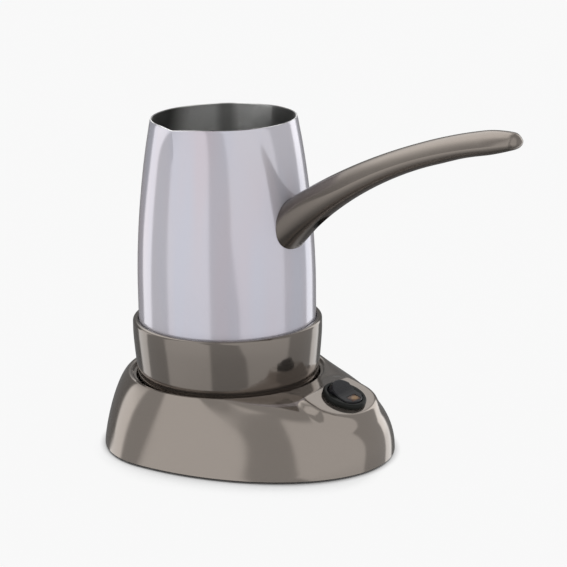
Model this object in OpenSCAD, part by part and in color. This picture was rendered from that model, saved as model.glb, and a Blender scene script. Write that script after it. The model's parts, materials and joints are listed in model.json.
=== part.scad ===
// Electric coffee pot that lifts off a powered base.
// Millimetres, Z up. The origin is on the pot's axis, at the table. The handle, the switch
// and the base's nose point along +X, and the two pouring lips along +Y and -Y.

/* [Base] */
// Height of the base at the rim of its well
base_h = 34.5; // [32:0.5:42]
// Reach of the nose in front of the pot's axis
nose_reach = 92; // [90:0.5:104]
// Reach of the tail behind the pot's axis
tail_reach = 58.6; // [57:0.2:66]
// Full width of the base
base_w = 131.6; // [126:0.2:144]
// How far the widest place lies behind the pot's axis
widest_back = 6.2; // [0:0.2:12]
// Roundness of the nose's profile, where 1 is a straight slope and 2 an ellipse
nose_bulge = 2.6; // [2.4:0.05:2.8]
// Roundness of the side walls' profile
side_bulge = 1; // [0.95:0.05:1.4]
// Roundness of the tail's profile
tail_bulge = 1.8; // [1.4:0.05:2.2]
// Wall of the base housing
base_wall = 2.2; // [1.8:0.1:2.8]
// Gap between the collar and the well round it
well_gap = 0.8; // [0.5:0.1:1.4]
// Width of the flat rim round the well
well_rim_w = 2.1; // [1.8:0.1:3]
// Width of the ledge in the well, just below the rim
well_ledge_w = 2; // [1.6:0.1:2.2]
// Depth of that ledge below the rim
well_ledge_depth = 1.8; // [1.4:0.1:2.6]
// Rounding of the rim's inner edge
well_edge_r = 1; // [0.4:0.1:1.4]
// Depth of the well
well_depth = 14.5; // [12:0.5:15.5]
// Height of the three pads that the pot stands on
rest_pad_h = 0.6; // [0.4:0.1:1]
// Distance of the rest pads from the pot's axis
rest_pad_ring = 36; // [30:0.5:38]

/* [Base plate and feet] */
// Thickness of the base plate
plate_t = 2; // [1.6:0.1:2.6]
// Gap between the table and the plate
plate_lift = 1; // [0.8:0.1:1.6]
// Depth of the pockets that hold the feet
foot_pocket = 0.8; // [0.4:0.1:1.2]
// Outer radius of the rubber foot ring
foot_ring_r = 46; // [42:0.5:50]
// Width of the rubber foot ring
foot_ring_w = 6; // [4:0.5:9]
// Radius of the rubber foot under the nose
nose_foot_r = 6; // [4:0.5:8]
// Distance of the base screws from the pot's axis
base_screw_ring = 30; // [28:0.5:33]
// Width of the ventilation slots
vent_w = 2.4; // [1.6:0.2:3.2]
// Length of the ventilation slots
vent_l = 22; // [14:1:26]

/* [Switch] */
// Distance of the switch from the pot's axis
switch_x = 71.4; // [70:0.2:73]
// Height of the switch pad at its middle
pad_z = 32.1; // [31.7:0.1:32.3]
// Slope of the switch pad
pad_tilt = 19; // [18:0.5:20]
// Slope of the bridge between the rim and the pad
pad_rise = 7; // [6:0.5:8]
// Length of the flat pad from its middle to the nose
pad_half_l = 12.2; // [11.6:0.2:13.5]
// Length of the pad and its bridge from the pad's middle to the rim
pad_back_l = 30; // [26:0.5:32]
// Half width of the flat pad
pad_half_w = 19; // [16:0.5:21]
// Outer radius of the switch bezel
bezel_r = 11; // [10.8:0.1:11.4]
// Height of the bezel above the pad
bezel_h = 2.5; // [2:0.1:3.6]
// Radius of the switch barrel
barrel_r = 9.9; // [9.7:0.05:10.3]
// Length of the switch barrel behind the pad
barrel_l = 14; // [12.5:0.5:15]
// Radius of the rounded rocker
rocker_r = 8.9; // [8.4:0.1:9]
// Width of the rocker
rocker_w = 14; // [12:0.2:14.4]
// Depth of the rocker's pivot below the bezel's top
pivot_depth = 2; // [1.6:0.1:2.4]
// Radius of the rocker's pivot pins
pivot_r = 1.3; // [1:0.05:1.4]
// Tilt of the rocker to either side of level
rocker_tilt = 12; // [8:0.5:14]
// Length of the lamp window along the rocker
lens_l = 4.4; // [3:0.2:4.8]
// Width of the lamp window
lens_w = 7; // [5:0.2:8]

/* [Coupler] */
// Distance between neighbouring pins
pin_pitch = 9; // [8:0.5:10]
// Width of a flat pin
pin_w = 6; // [5:0.1:6.6]
// Thickness of a flat pin
pin_t = 0.8; // [0.6:0.1:1]
// Length of the socket block across the three pins
socket_l = 28; // [27:0.5:30]
// Width of the socket block
socket_w = 14; // [12:0.5:15]
// Height of the socket block above the well's floor
socket_rise = 8.6; // [7:0.2:10]
// Gap between the socket block and the plug round it
dock_gap = 0.6; // [0.4:0.1:1]
// Distance of the socket and plug screws from the middle
coupler_screw_y = 20.5; // [20:0.5:22]

/* [Collar] */
// Height of the collar
collar_h = 41.6; // [39:0.2:46]
// Width of the collar's top round the pot
collar_rim_w = 3; // [2.6:0.1:3.8]
// How much the collar narrows to its foot
collar_taper = 3.4; // [2.6:0.1:4.6]
// Depth of the collar's widest place below its top
collar_belly = 6.2; // [5:0.2:10]
// Wall of the collar
collar_wall = 1.8; // [1.4:0.1:1.9]
// Thickness of the collar's bottom cover
cover_t = 2.2; // [1.8:0.1:2.8]

/* [Pot] */
// Largest outside radius of the pot
pot_r = 44.6; // [44:0.1:44.8]
// Mean outside radius of the rim
rim_r = 36.3; // [33:0.1:39]
// Height of the pot from its bottom to its rim
pot_h = 107.3; // [95:0.5:120]
// Wall of the pot
pot_wall = 0.8; // [0.6:0.1:1.2]
// Radius of the pot's bottom edge
pot_edge_r = 3; // [2:0.2:4]
// How far the pot's bottom sits below the top of the collar
pot_inset = 6; // [5.4:0.1:7]
// Height above the pot's bottom at which it starts to narrow
pot_straight = 22; // [14:1:30]
// How quickly the pot narrows, where 1 is a cone
pot_curve = 1.87; // [1.4:0.01:2.2]
// How much wider the rim is across the lips than along the handle, each side
rim_oval = 1; // [0:0.1:1.6]
// Reach of the pouring lips past the rim
lip_out = 2.7; // [1.5:0.1:4]
// Dip of the lips below the rim
lip_dip = 0.55; // [0:0.05:1]
// Height over which the lips fade into the wall
lip_fade = 20; // [12:1:30]
// Half angle of a lip
lip_angle = 20; // [16:1:26]

/* [Handle] */
// Reach of the handle's tip from the pot's axis
handle_reach = 166.5; // [150:0.5:190]
// Height of the handle's tip above the middle of its root
handle_rise = 55.6; // [46:0.2:66]
// Height of the middle of the root above the pot's bottom
handle_root = 58.5; // [54:0.5:62]
// Half thickness of the handle at the root
root_half_h = 10.4; // [9.6:0.1:12]
// Half width of the handle at the root
root_half_w = 13.2; // [11:0.1:14]
// How far the handle runs on past its root, as a share of its path
root_run = 0.06; // [0.04:0.01:0.08]
// Half thickness of the grip
grip_half_h = 5.8; // [5:0.1:7]
// Half width of the grip
grip_half_w = 8.4; // [7:0.1:10]
// Radius of the handle screw
handle_screw_r = 2; // [1.6:0.1:2.4]

/* [Heater] */
// Radius of the heat spreader plate
heat_plate_r = 38; // [37:0.5:40]
// Thickness of the heat spreader plate
heat_plate_t = 3; // [2:0.2:4]
// Radius of the heating element's tube
element_r = 3.2; // [2.6:0.1:3.4]
// Radius of the horseshoe that the element follows
element_ring = 26; // [25:0.5:27]
// Opening of the horseshoe
element_gap = 50; // [40:2:70]
// Radius of the thermal cutout
cutout_r = 8; // [7:0.2:9]
// Height of the thermal cutout
cutout_h = 6; // [4.6:0.2:7]
// Distance of the mounting posts from the pot's axis
post_ring = 33.5; // [33:0.25:34]
// Radius of the mounting posts
post_r = 3; // [2.6:0.1:3.2]

/* [Cord inlet and leads] */
// Height of the cord inlet above the table
inlet_z = 10.6; // [10.2:0.1:11.2]
// Radius of the hole through the cord gland
gland_bore_r = 3.4; // [3:0.1:3.8]
// Wall of the cord gland
gland_wall = 1.7; // [1.4:0.1:1.9]
// Radius of an insulated lead
lead_r = 1.1; // [0.9:0.05:1.2]

/* [Fits] */
// Clearance between parts that are fastened together
snug = 0.15; // [0.1:0.05:0.25]
// Radial clearance of the rocker's pivot
pivot_gap = 0.05; // [0.03:0.01:0.08]
// Clearance round the rocker
rocker_gap = 0.25; // [0.2:0.05:0.35]
// Clearance on each side of a pin in its contact
contact_gap = 0.25; // [0.2:0.05:0.35]
// Radius of the small screws
screw_r = 1.4; // [1.2:0.05:1.5]

/* [Hidden] */
$fn = 72;

// Colours
pewter = [0.53, 0.49, 0.45];
pearl = [0.77, 0.75, 0.82];
steel = [0.72, 0.72, 0.73];
black = [0.08, 0.08, 0.09];
brass = [0.80, 0.63, 0.30];

// A small overlap that lets two shapes of one piece join
join = 0.4;

// Radii that follow the pot's
collar_r = pot_r + collar_rim_w;
collar_foot_r = collar_r - collar_taper;
well_r = collar_r + well_gap;

// How far the screws go into what they hold
long_bite = 8;
bite = 3.5;
small_head_l = 1.6;
pilot_l = 9;

// Base levels
plate_z = plate_lift;
plate_top = plate_z + plate_t;
well_z = base_h - well_depth;
tub_z = well_z - base_wall;
rim_out_r = well_r + well_rim_w;
tub_r = rim_out_r - 0.3;
seat_z = well_z + rest_pad_h;
nose_l = nose_reach + widest_back;
tail_l = tail_reach - widest_back;

// Switch levels, in the switch's own frame, where z is out of the pad and x is down its slope
switch_hole_r = barrel_r + snug;
pivot_z = bezel_h - pivot_depth;
rocker_crown = pivot_z + 2.6;
rocker_floor = pivot_z - 5.5;
cavity_half_w = rocker_w / 2 + rocker_gap;
cavity_r = rocker_r + rocker_gap;
barrel_floor_t = 3;
terminal_t = 0.8;
terminal_w = 6;
terminal_l = 6;
terminal_pitch = 5;
stem_l = 3;
lens_x = 2.4;
lens_t = 1.2;
lamp_r = 1.5;
lamp_l = 6;
lamp_z = -lens_t - lamp_r - 0.2;

// Coupler levels
contact_leaf = 0.5;
slot_w = pin_w + 1;
slot_t = pin_t + 2 * contact_gap + 2 * contact_leaf;
socket_top = well_z + socket_rise;
contact_web_t = 1;
contact_tail = 6;
ear_t = 2;
ear_r = 3.4;
socket_ear_z = tub_z - 6;
cover_top = seat_z + cover_t;
dock_w = socket_w + 2 * dock_gap;
dock_l = socket_l + 2 * dock_gap;
plug_wall = 2;
plug_roof_z = socket_top + 1;
plug_roof_t = 3;
plug_top = plug_roof_z + plug_roof_t;
pin_tip = well_z + 3;
tab_l = 7;

// Collar and pot levels
collar_top = seat_z + collar_h;
collar_wide_z = collar_top - collar_belly;
lip_t = 1.2;
seal_h = 2;
shelf_t = 1.5;
pot_z = collar_top - pot_inset;
rim_z = pot_z + pot_h;
narrow_z = pot_z + pot_straight;
heat_plate_z = pot_z - heat_plate_t;
cutout_z = heat_plate_z - cutout_h;
strap_t = 1;
strap_half = cutout_r + 3.5;
strap_foot = 6;
strap_w = 8;
strap_screw_y = strap_half + strap_foot / 2;
element_z = heat_plate_z - element_r + 0.15;
element_end = 180 - element_gap / 2;
cold_end_l = 2;
element_pin_r = 0.35 * element_r;
element_pin_z = element_z - element_r - cold_end_l - tab_l;

// Handle
root_z = pot_z + handle_root;
root_x = pot_r_at(root_z) - 2.9;
handle_path = [
  [root_x, root_z],
  [root_x + 0.185 * (handle_reach - root_x), root_z + 0.373 * handle_rise],
  [root_x + 0.54 * (handle_reach - root_x), root_z + 0.872 * handle_rise],
  [handle_reach, root_z + handle_rise]
];
bracket_t = 1.2;
bracket_low = root_z - 5;
bracket_high = root_z + 11;
bracket_angle = 7;
weld_gap = 0.06;
boss_r = handle_screw_r + 2.4;
boss_l = 5;
boss_cover = 2;
handle_screw_z = root_z + 4.5;
handle_head_r = 2 * handle_screw_r;
handle_head_l = 0.7 * handle_head_r;
handle_cap_t = 1.5;

// Cord inlet, clamp and leads
inlet_face = -tail_reach + 1;
gland_r = gland_bore_r + gland_wall;
gland_flange = 1.6;
gland_flange_t = 2.4;
gland_tail = base_wall + 4;
clamp_x = -40;
clamp_y = 10;
clamp_w = 8;
clamp_l = 2 * clamp_y + 8;
clamp_t = 2.8;
clamp_z = inlet_z - lead_r;
lead_end_gap = 0.65;
lead_pitch = 3;
lead_tail = clamp_w + 4;
lead_x = clamp_x + clamp_w / 2 + 1;
nose_foot_x = nose_reach - base_wall - nose_foot_r - 8;

function pick(t) = t < 0 ? 0 : t > 1 ? 1 : t;
function smooth(t) = let (u = pick(t)) u * u * (3 - 2 * u);
function unit(v) = v / norm(v);
function power(v, p) = sign(v) * pow(abs(v), p);

// ---- Base form: a dome that runs from the round well rim to the egg-shaped foot line

function bulge_at(a) = cos(a) < 0
  ? side_bulge + (tail_bulge - side_bulge) * pow(cos(a), 2)
  : side_bulge + (nose_bulge - side_bulge) * pow(cos(a), 4);
function foot_line(a, inset) = [
  (cos(a) < 0 ? tail_l - inset : nose_l - inset) * cos(a) - widest_back,
  (base_w / 2 - inset) * sin(a)
];
function pad_share(x, y) =
  let (l = x < switch_x ? pad_back_l : pad_half_l)
  smooth((1.3 - sqrt(pow((x - switch_x) / l, 2) + pow(y / pad_half_w, 2))) / 0.28);
function pad_height(x, inset) =
  min(pad_z - (x - switch_x) * tan(pad_tilt), base_h + max(0, x - rim_out_r) * tan(pad_rise))
  - inset / cos(pad_tilt);
function dome_point(a, t, inset, low) =
  let (
    n = bulge_at(a),
    out = pow(sin(90 * t), 2 / n),
    up = pow(cos(90 * t), 2 / n),
    foot = foot_line(a, inset),
    x = (rim_out_r - inset) * cos(a) * (1 - out) + foot.x * out,
    y = (rim_out_r - inset) * sin(a) * (1 - out) + foot.y * out,
    z = low + (base_h - inset - low) * up,
    share = pad_share(x, y)
  )
  [x, y, z + share * (pad_height(x, inset) - z)];

// A closed solid through rings of equal length, listed from the bottom up, ends capped
module rings_solid(rings) {
  n = len(rings[0]);
  last = len(rings) - 1;
  points = [for (ring = rings) each ring];
  sides = [
    for (j = [0:last - 1])
      for (i = [0:n - 1])
        let (k = (i + 1) % n)
        each [[j * n + i, (j + 1) * n + i, (j + 1) * n + k], [j * n + i, (j + 1) * n + k, j * n + k]]
  ];
  floor_cap = [[for (i = [0:n - 1]) i]];
  roof_cap = [[for (i = [n - 1:-1:0]) last * n + i]];
  polyhedron(points, concat(sides, floor_cap, roof_cap));
}

module dome(inset, low, columns, rows) {
  rings_solid([
    for (j = [rows:-1:0]) [for (i = [0:columns - 1]) dome_point(i * 360 / columns, j / rows, inset, low)]
  ]);
}

// Places its children in the switch's own frame
module at_switch() {
  translate([switch_x, 0, pad_z]) rotate([0, pad_tilt, 0]) children();
}

module base_screw_places() {
  for (a = [45:90:315]) rotate(a) translate([base_screw_ring, 0, 0]) children();
}

module coupler_screw_places() {
  for (side = [-1, 1]) translate([0, side * coupler_screw_y, 0]) children();
}

module clamp_screw_places() {
  for (side = [-1, 1]) translate([clamp_x, side * clamp_y, 0]) children();
}

module base_housing() {
  color(pewter) difference() {
    union() {
      difference() {
        dome(0, plate_z, 72, 12);
        dome(base_wall, plate_z - 0.01, 48, 9);
      }
      // The tub of the well
      translate([0, 0, tub_z]) cylinder(r = tub_r, h = base_h - tub_z);
      // Bosses for the base screws
      base_screw_places() translate([0, 0, plate_top]) cylinder(r = 4, h = tub_z - plate_top + join);
      // Posts for the socket
      coupler_screw_places() translate([0, 0, socket_ear_z + ear_t])
        cylinder(r = ear_r, h = tub_z - socket_ear_z - ear_t + join);
      // Saddle that the leads are clamped against
      translate([clamp_x - clamp_w / 2, -clamp_l / 2, inlet_z + lead_r])
        cube([clamp_w, clamp_l, tub_z - inlet_z - lead_r + join]);
    }
    // The well, with its rounded edge
    translate([0, 0, well_z]) cylinder(r = well_r - well_ledge_w, h = well_depth + 1);
    translate([0, 0, base_h - well_ledge_depth]) cylinder(r = well_r, h = well_ledge_depth + 1);
    rotate_extrude() translate([well_r, base_h - well_edge_r]) difference() {
      translate([-1, 0]) square([well_edge_r + 1, well_edge_r + 1]);
      translate([well_edge_r, 0]) circle(r = well_edge_r);
      translate([well_edge_r, -1]) square([1, well_edge_r + 3]);
    }
    // Opening for the socket block
    translate([-socket_w / 2 - snug, -socket_l / 2 - snug, tub_z - 1])
      cube([socket_w + 2 * snug, socket_l + 2 * snug, base_wall + 2]);
    // Pilot holes
    base_screw_places() translate([0, 0, plate_top - 1]) cylinder(r = screw_r, h = pilot_l + 1);
    coupler_screw_places() translate([0, 0, socket_ear_z]) cylinder(r = screw_r, h = ear_t + 5);
    clamp_screw_places() translate([0, 0, inlet_z]) cylinder(r = screw_r, h = 6);
    // Hole for the switch barrel, faced on both sides
    at_switch() {
      translate([0, 0, -base_wall - 3]) cylinder(r = switch_hole_r, h = base_wall + 6);
      cylinder(r = bezel_r + snug, h = 2);
      translate([0, 0, -base_wall - 2]) cylinder(r = bezel_r + snug, h = 2);
    }
    // Hole and spot face for the cord gland
    translate([inlet_face, 0, inlet_z]) rotate([0, -90, 0]) {
      gland_block(gland_r + gland_flange + 2 * snug, 6);
      translate([0, 0, -8]) gland_block(gland_r + snug, 12);
    }
  }
  color(pewter) rest_pads();
}

module rest_pads() {
  for (a = [60:120:300]) rotate(a) translate([rest_pad_ring, 0, well_z - join])
    cylinder(r = 3, h = rest_pad_h + join);
}

module base_plate() {
  side_slope = (base_w / 2 - rim_out_r) / (base_h - base_wall - plate_z);
  edge = base_wall + 2 * snug + plate_t * side_slope;
  color(black) difference() {
    translate([0, 0, plate_z]) linear_extrude(plate_t)
      polygon([for (a = [0:5:355]) foot_line(a, edge)]);
    base_screw_places() translate([0, 0, plate_z - 1]) {
      cylinder(r = screw_r + snug, h = plate_t + 2);
      cylinder(r = 2 * screw_r + snug, h = plate_t / 2 + 1);
    }
    // Pockets for the feet
    translate([0, 0, plate_z - 1]) difference() {
      cylinder(r = foot_ring_r, h = foot_pocket + 1);
      translate([0, 0, -1]) cylinder(r = foot_ring_r - foot_ring_w, h = foot_pocket + 3);
    }
    translate([nose_foot_x, 0, plate_z - 1]) cylinder(r = nose_foot_r, h = foot_pocket + 1);
    for (x = [-2:2]) translate([2.4 * vent_w * x - vent_w / 2, -vent_l / 2, plate_z - 1])
      cube([vent_w, vent_l, plate_t + 2]);
  }
}

module foot_ring() {
  color(black) rotate_extrude() translate([foot_ring_r - foot_ring_w, 0])
    rounded_bar(foot_ring_w, plate_z + foot_pocket, 0.5);
}

module nose_foot() {
  color(black) translate([nose_foot_x, 0, 0]) rotate_extrude()
    difference() {
      square([nose_foot_r, plate_z + foot_pocket]);
      translate([nose_foot_r - 0.5, 0]) corner_cut(0.5);
    }
}

// A rectangle on the x axis whose two lower corners are rounded
module rounded_bar(w, h, r) {
  difference() {
    square([w, h]);
    translate([w - r, 0]) corner_cut(r);
    translate([r, 0]) mirror([1, 0]) corner_cut(r);
  }
}

// What rounding the lower right corner of a square takes away
module corner_cut(r) {
  difference() {
    translate([0, -1]) square([r + 1, r + 1]);
    translate([0, r]) circle(r = r);
  }
}

// A screw with its head below z = 0 and its shank going up
module screw(r, l, head_r, head_l) {
  difference() {
    union() {
      cylinder(r = r, h = l);
      translate([0, 0, -head_l]) cylinder(r = head_r, h = head_l);
    }
    for (a = [0, 90]) rotate(a) translate([-0.7 * head_r, -0.3, -head_l - 1])
      cube([1.4 * head_r, 0.6, 1 + head_l / 2]);
  }
}

module base_screws() {
  color(steel) base_screw_places() translate([0, 0, plate_z + plate_t / 2])
    screw(screw_r, plate_t / 2 + long_bite, 2 * screw_r, plate_t / 2);
}

// ---- Coupler

module slots(low, high) {
  for (k = [-1:1]) translate([-slot_w / 2, k * pin_pitch - slot_t / 2, low])
    cube([slot_w, slot_t, high - low]);
}

module ear_bar(z, t) {
  translate([0, 0, z]) linear_extrude(t) {
    square([2 * ear_r, 2 * coupler_screw_y], center = true);
    coupler_screw_places() circle(r = ear_r);
  }
}

module power_socket() {
  color(black) difference() {
    union() {
      translate([-socket_w / 2, -socket_l / 2, socket_ear_z])
        cube([socket_w, socket_l, socket_top - socket_ear_z]);
      ear_bar(socket_ear_z, ear_t);
    }
    slots(socket_ear_z - 1, socket_top + 1);
    coupler_screw_places() translate([0, 0, socket_ear_z - 1]) cylinder(r = screw_r + snug, h = ear_t + 2);
  }
}

// Two leaves that grip a pin, joined by a web with a tail for the lead
module socket_contacts() {
  web_z = socket_ear_z + 1;
  color(brass) for (k = [-1:1]) translate([-pin_w / 2, k * pin_pitch, web_z]) {
    for (side = [-1, 1]) translate([0, side * (slot_t - contact_leaf) / 2 - contact_leaf / 2, 0])
      cube([pin_w, contact_leaf, socket_top - 1.6 - web_z]);
    translate([0, -slot_t / 2, 0]) cube([pin_w, slot_t, contact_web_t]);
    translate([0, -contact_leaf / 2, -contact_tail]) cube([pin_w, contact_leaf, contact_tail + join]);
  }
}

module socket_screws() {
  color(steel) coupler_screw_places() translate([0, 0, socket_ear_z])
    screw(screw_r, ear_t + bite, 2 * screw_r, small_head_l);
}

// ---- Switch

module switch_frame() {
  color(black) at_switch() difference() {
    union() {
      rotate_extrude() difference() {
        square([bezel_r, bezel_h]);
        translate([bezel_r - 1.2, bezel_h]) mirror([0, 1]) corner_cut(1.2);
      }
      translate([0, 0, -barrel_l]) cylinder(r = barrel_r, h = barrel_l + join);
      // Snap lugs behind the wall
      for (side = [0, 180]) rotate(side) translate([0, 2.5, -base_wall - 0.1]) rotate([90, 0, 0])
        linear_extrude(5)
          polygon([[barrel_r - 1, 0], [barrel_r + 1, 0], [barrel_r - 0.2, -6], [barrel_r - 1, -6]]);
    }
    // Well of the rocker
    intersection() {
      translate([0, 0, rocker_floor - 1.6]) cylinder(r = cavity_r, h = 20);
      translate([-20, -cavity_half_w, -20]) cube([40, 2 * cavity_half_w, 40]);
    }
    // Room for the rocker's stem
    translate([-4.8, -cavity_half_w, barrel_floor_t - barrel_l]) cube([9.6, 2 * cavity_half_w, 10]);
    // Pivot bores
    translate([0, 0, pivot_z]) rotate([90, 0, 0])
      cylinder(r = pivot_r + pivot_gap, h = 2 * cavity_half_w + 2.8, center = true);
    // Slits for the terminals
    terminal_blades(-barrel_l - 1, barrel_floor_t + 2);
  }
}

module terminal_blades(low, height) {
  for (k = [-1:1]) translate([k * terminal_pitch - terminal_t / 2, -terminal_w / 2, low])
    cube([terminal_t, terminal_w, height]);
}

module switch_terminals() {
  color(brass) at_switch() terminal_blades(-barrel_l - terminal_l, barrel_floor_t + terminal_l + 0.5);
}

// The rocker when level, with the pivot at the origin
module level_rocker() {
  difference() {
    intersection() {
      sphere(r = rocker_r);
      translate([-20, -rocker_w / 2, rocker_floor - pivot_z]) cube([40, rocker_w, 40]);
    }
    for (side = [0, 180]) rotate(side) at_outer_face() translate([0, -20, 0]) cube([40, 40, 20]);
  }
}

// The frame of the rocker's outer face, with z = 0 in the face
module at_outer_face() {
  translate([0, 0, rocker_crown - pivot_z]) rotate([0, -rocker_tilt, 0]) children();
}

module lens_block() {
  at_outer_face() translate([lens_x, -lens_w / 2, -lens_t]) cube([lens_l, lens_w, lens_t + 1]);
}

// The rocker rests with its outer end pressed
module at_pivot() {
  at_switch() translate([0, 0, pivot_z]) rotate([0, rocker_tilt, 0]) children();
}

module rocker() {
  color(black) at_pivot() {
    difference() {
      union() {
        level_rocker();
        // Stem that works the contacts
        translate([-2.2, -4, rocker_floor - pivot_z - stem_l]) cube([4.4, 8, stem_l + 1]);
        // Pivot pins
        rotate([90, 0, 0]) cylinder(r = pivot_r, h = rocker_w + 2.4, center = true);
      }
      lens_block();
      // Room for the lamp
      at_outer_face() translate([lens_x + lens_l / 2 - lamp_r, -lamp_l / 2, lamp_z - lamp_r])
        cube([2 * lamp_r, lamp_l, 2 * lamp_r + 1]);
    }
  }
}

module rocker_lens() {
  color([0.86, 0.42, 0.12]) at_pivot() intersection() {
    level_rocker();
    lens_block();
  }
}

module indicator_lamp() {
  color([0.9, 0.6, 0.4]) at_pivot() at_outer_face() translate([lens_x + lens_l / 2, 0, lamp_z])
    rotate([90, 0, 0]) cylinder(r = lamp_r, h = lamp_l, center = true);
}

// ---- Cord inlet and leads of the base

// A square block with rounded corners, which keeps the gland from turning
module gland_block(half, l) {
  r = 1;
  linear_extrude(l) hull()
    for (x = [-1, 1], y = [-1, 1]) translate([x * (half - r), y * (half - r)]) circle(r = r, $fn = 24);
}

module cord_gland() {
  color(black) translate([inlet_face, 0, inlet_z]) rotate([0, -90, 0]) difference() {
    union() {
      gland_block(gland_r + gland_flange, gland_flange_t);
      translate([0, 0, -gland_tail]) gland_block(gland_r, gland_tail + join);
    }
    translate([0, 0, -gland_tail - 1]) cylinder(r = gland_bore_r, h = gland_tail + gland_flange_t + 2);
  }
}

module cord_clamp() {
  color(black) difference() {
    translate([clamp_x - clamp_w / 2, -clamp_l / 2, clamp_z - clamp_t]) cube([clamp_w, clamp_l, clamp_t]);
    clamp_screw_places() translate([0, 0, clamp_z - clamp_t - 1])
      cylinder(r = screw_r + snug, h = clamp_t + 2);
  }
}

module clamp_screws() {
  color(steel) clamp_screw_places() translate([0, 0, clamp_z - clamp_t])
    screw(screw_r, clamp_t + 2 * lead_r + bite, 2 * screw_r, small_head_l);
}

function curve(p, t) =
  pow(1 - t, 3) * p[0] + 3 * pow(1 - t, 2) * t * p[1] + 3 * (1 - t) * t * t * p[2] + pow(t, 3) * p[3];
function heading(p, t) =
  unit(pow(1 - t, 2) * (p[1] - p[0]) + 2 * (1 - t) * t * (p[2] - p[1]) + t * t * (p[3] - p[2]));

// A round lead along a curve of four control points, with a straight tail before it.
// No stretch of it is upright.
module lead(p, tail = 0) {
  steps = 16;
  start = heading(p, 0);
  rings_solid(concat(
    tail > 0 ? [lead_ring(p[0] - tail * start, start)] : [],
    [for (j = [0:steps]) lead_ring(curve(p, j / steps), heading(p, j / steps))]
  ));
}

function lead_ring(middle, ahead) =
  let (
    across = unit(cross([0, 0, 1], ahead)),
    above = cross(ahead, across)
  )
  [for (a = [0:45:315]) middle + lead_r * (cos(a) * across + sin(a) * above)];

// A point in the object's frame from one in the switch's frame
function from_switch(p) = [
  switch_x + p.x * cos(pad_tilt) + p.z * sin(pad_tilt),
  p.y,
  pad_z - p.x * sin(pad_tilt) + p.z * cos(pad_tilt)
];
// Where a lead meets the edge of a switch terminal
function terminal(k, side) =
  from_switch([k * terminal_pitch, side * (terminal_w / 2 + lead_end_gap), -barrel_l - terminal_l + 2]);
contact_z = socket_ear_z + 1 - contact_tail + lead_r + 0.2;

module base_live_leads() {
  inlet_end = terminal(-1, -1);
  socket_end = terminal(0, -1);
  color("saddlebrown") {
    lead([
      [lead_x, -lead_pitch, inlet_z], [lead_x + 17, -lead_pitch, inlet_z],
      [inlet_end.x - 38, -58, -3], inlet_end
    ], lead_tail);
    lead([
      [pin_w / 2, -pin_pitch, contact_z], [pin_w / 2 + 22, -pin_pitch, contact_z],
      [socket_end.x, -14, plate_top + 2], socket_end
    ]);
  }
}

module base_neutral_leads() {
  lamp_end = terminal(1, 1);
  color("royalblue") {
    lead([
      [lead_x, lead_pitch, inlet_z], [lead_x + 17, lead_pitch, inlet_z],
      [0, pin_pitch + 13, contact_z], [0, pin_pitch + contact_leaf / 2, contact_z]
    ], lead_tail);
    lead([
      [pin_w / 2, pin_pitch, contact_z], [pin_w / 2 + 22, pin_pitch, contact_z],
      [lamp_end.x, 32, plate_top + 3], lamp_end
    ]);
  }
}

module base_earth_lead() {
  color("olivedrab") lead([
    [lead_x, 0, inlet_z], [lead_x + 12, 0, inlet_z],
    [-pin_w / 2 - 12, 0, contact_z], [-pin_w / 2, 0, contact_z]
  ], lead_tail);
}

// ---- Collar and pot

function collar_r_at(z) =
  z > collar_wide_z ? collar_r
  : collar_r - (collar_r - collar_foot_r) * pow((collar_wide_z - z) / (collar_wide_z - seat_z), 1.3);

module collar() {
  steps = 10;
  lip_r = 1.6;
  lip_in = pot_r + 3 * snug;
  lip_low = collar_top - lip_t;
  levels = [for (i = [0:steps]) seat_z + i * (collar_wide_z - seat_z) / steps];
  outside = [for (z = levels) [collar_r_at(z), z]];
  shoulder = [for (a = [0:15:90]) [collar_r - lip_r * (1 - cos(a)), collar_top - lip_r * (1 - sin(a))]];
  lip = [[lip_in, collar_top], [lip_in, lip_low], [collar_r - collar_wall, lip_low]];
  inside = [for (i = [steps:-1:0]) [collar_r_at(levels[i]) - collar_wall, levels[i]]];
  color(pewter) {
    rotate_extrude() polygon(concat(outside, shoulder, lip, inside));
    // Shelf that the cover is screwed against
    translate([0, 0, cover_top]) difference() {
      cylinder(r = collar_r_at(cover_top) - collar_wall + join, h = shelf_t);
      translate([0, 0, -1]) cylinder(r = collar_foot_r - collar_wall - 3, h = shelf_t + 2);
    }
  }
}

module collar_seal() {
  color(black) translate([0, 0, collar_top - lip_t - seal_h]) difference() {
    cylinder(r = collar_r - collar_wall, h = seal_h);
    translate([0, 0, -1]) cylinder(r = pot_r, h = seal_h + 2);
  }
}

module post_places() {
  for (a = [30:120:270]) rotate(a) translate([post_ring, 0, 0]) children();
}

module collar_cover() {
  color(black) difference() {
    translate([0, 0, seat_z]) cylinder(r = collar_foot_r - collar_wall - snug, h = cover_t);
    translate([-dock_w / 2, -dock_l / 2, seat_z - 1]) cube([dock_w, dock_l, cover_t + 2]);
    post_places() cover_hole();
    coupler_screw_places() cover_hole();
  }
}

module cover_hole() {
  translate([0, 0, seat_z - 1]) {
    cylinder(r = screw_r + snug, h = cover_t + 2);
    cylinder(r = 2 * screw_r + snug, h = cover_t / 2 + 1);
  }
}

module cover_screws() {
  color(steel) post_places() translate([0, 0, seat_z + cover_t / 2])
    screw(screw_r, cover_t / 2 + bite, 2 * screw_r, cover_t / 2);
}

module plug_screws() {
  color(steel) coupler_screw_places() translate([0, 0, seat_z + cover_t / 2])
    screw(screw_r, cover_t / 2 + bite, 2 * screw_r, cover_t / 2);
}

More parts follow.
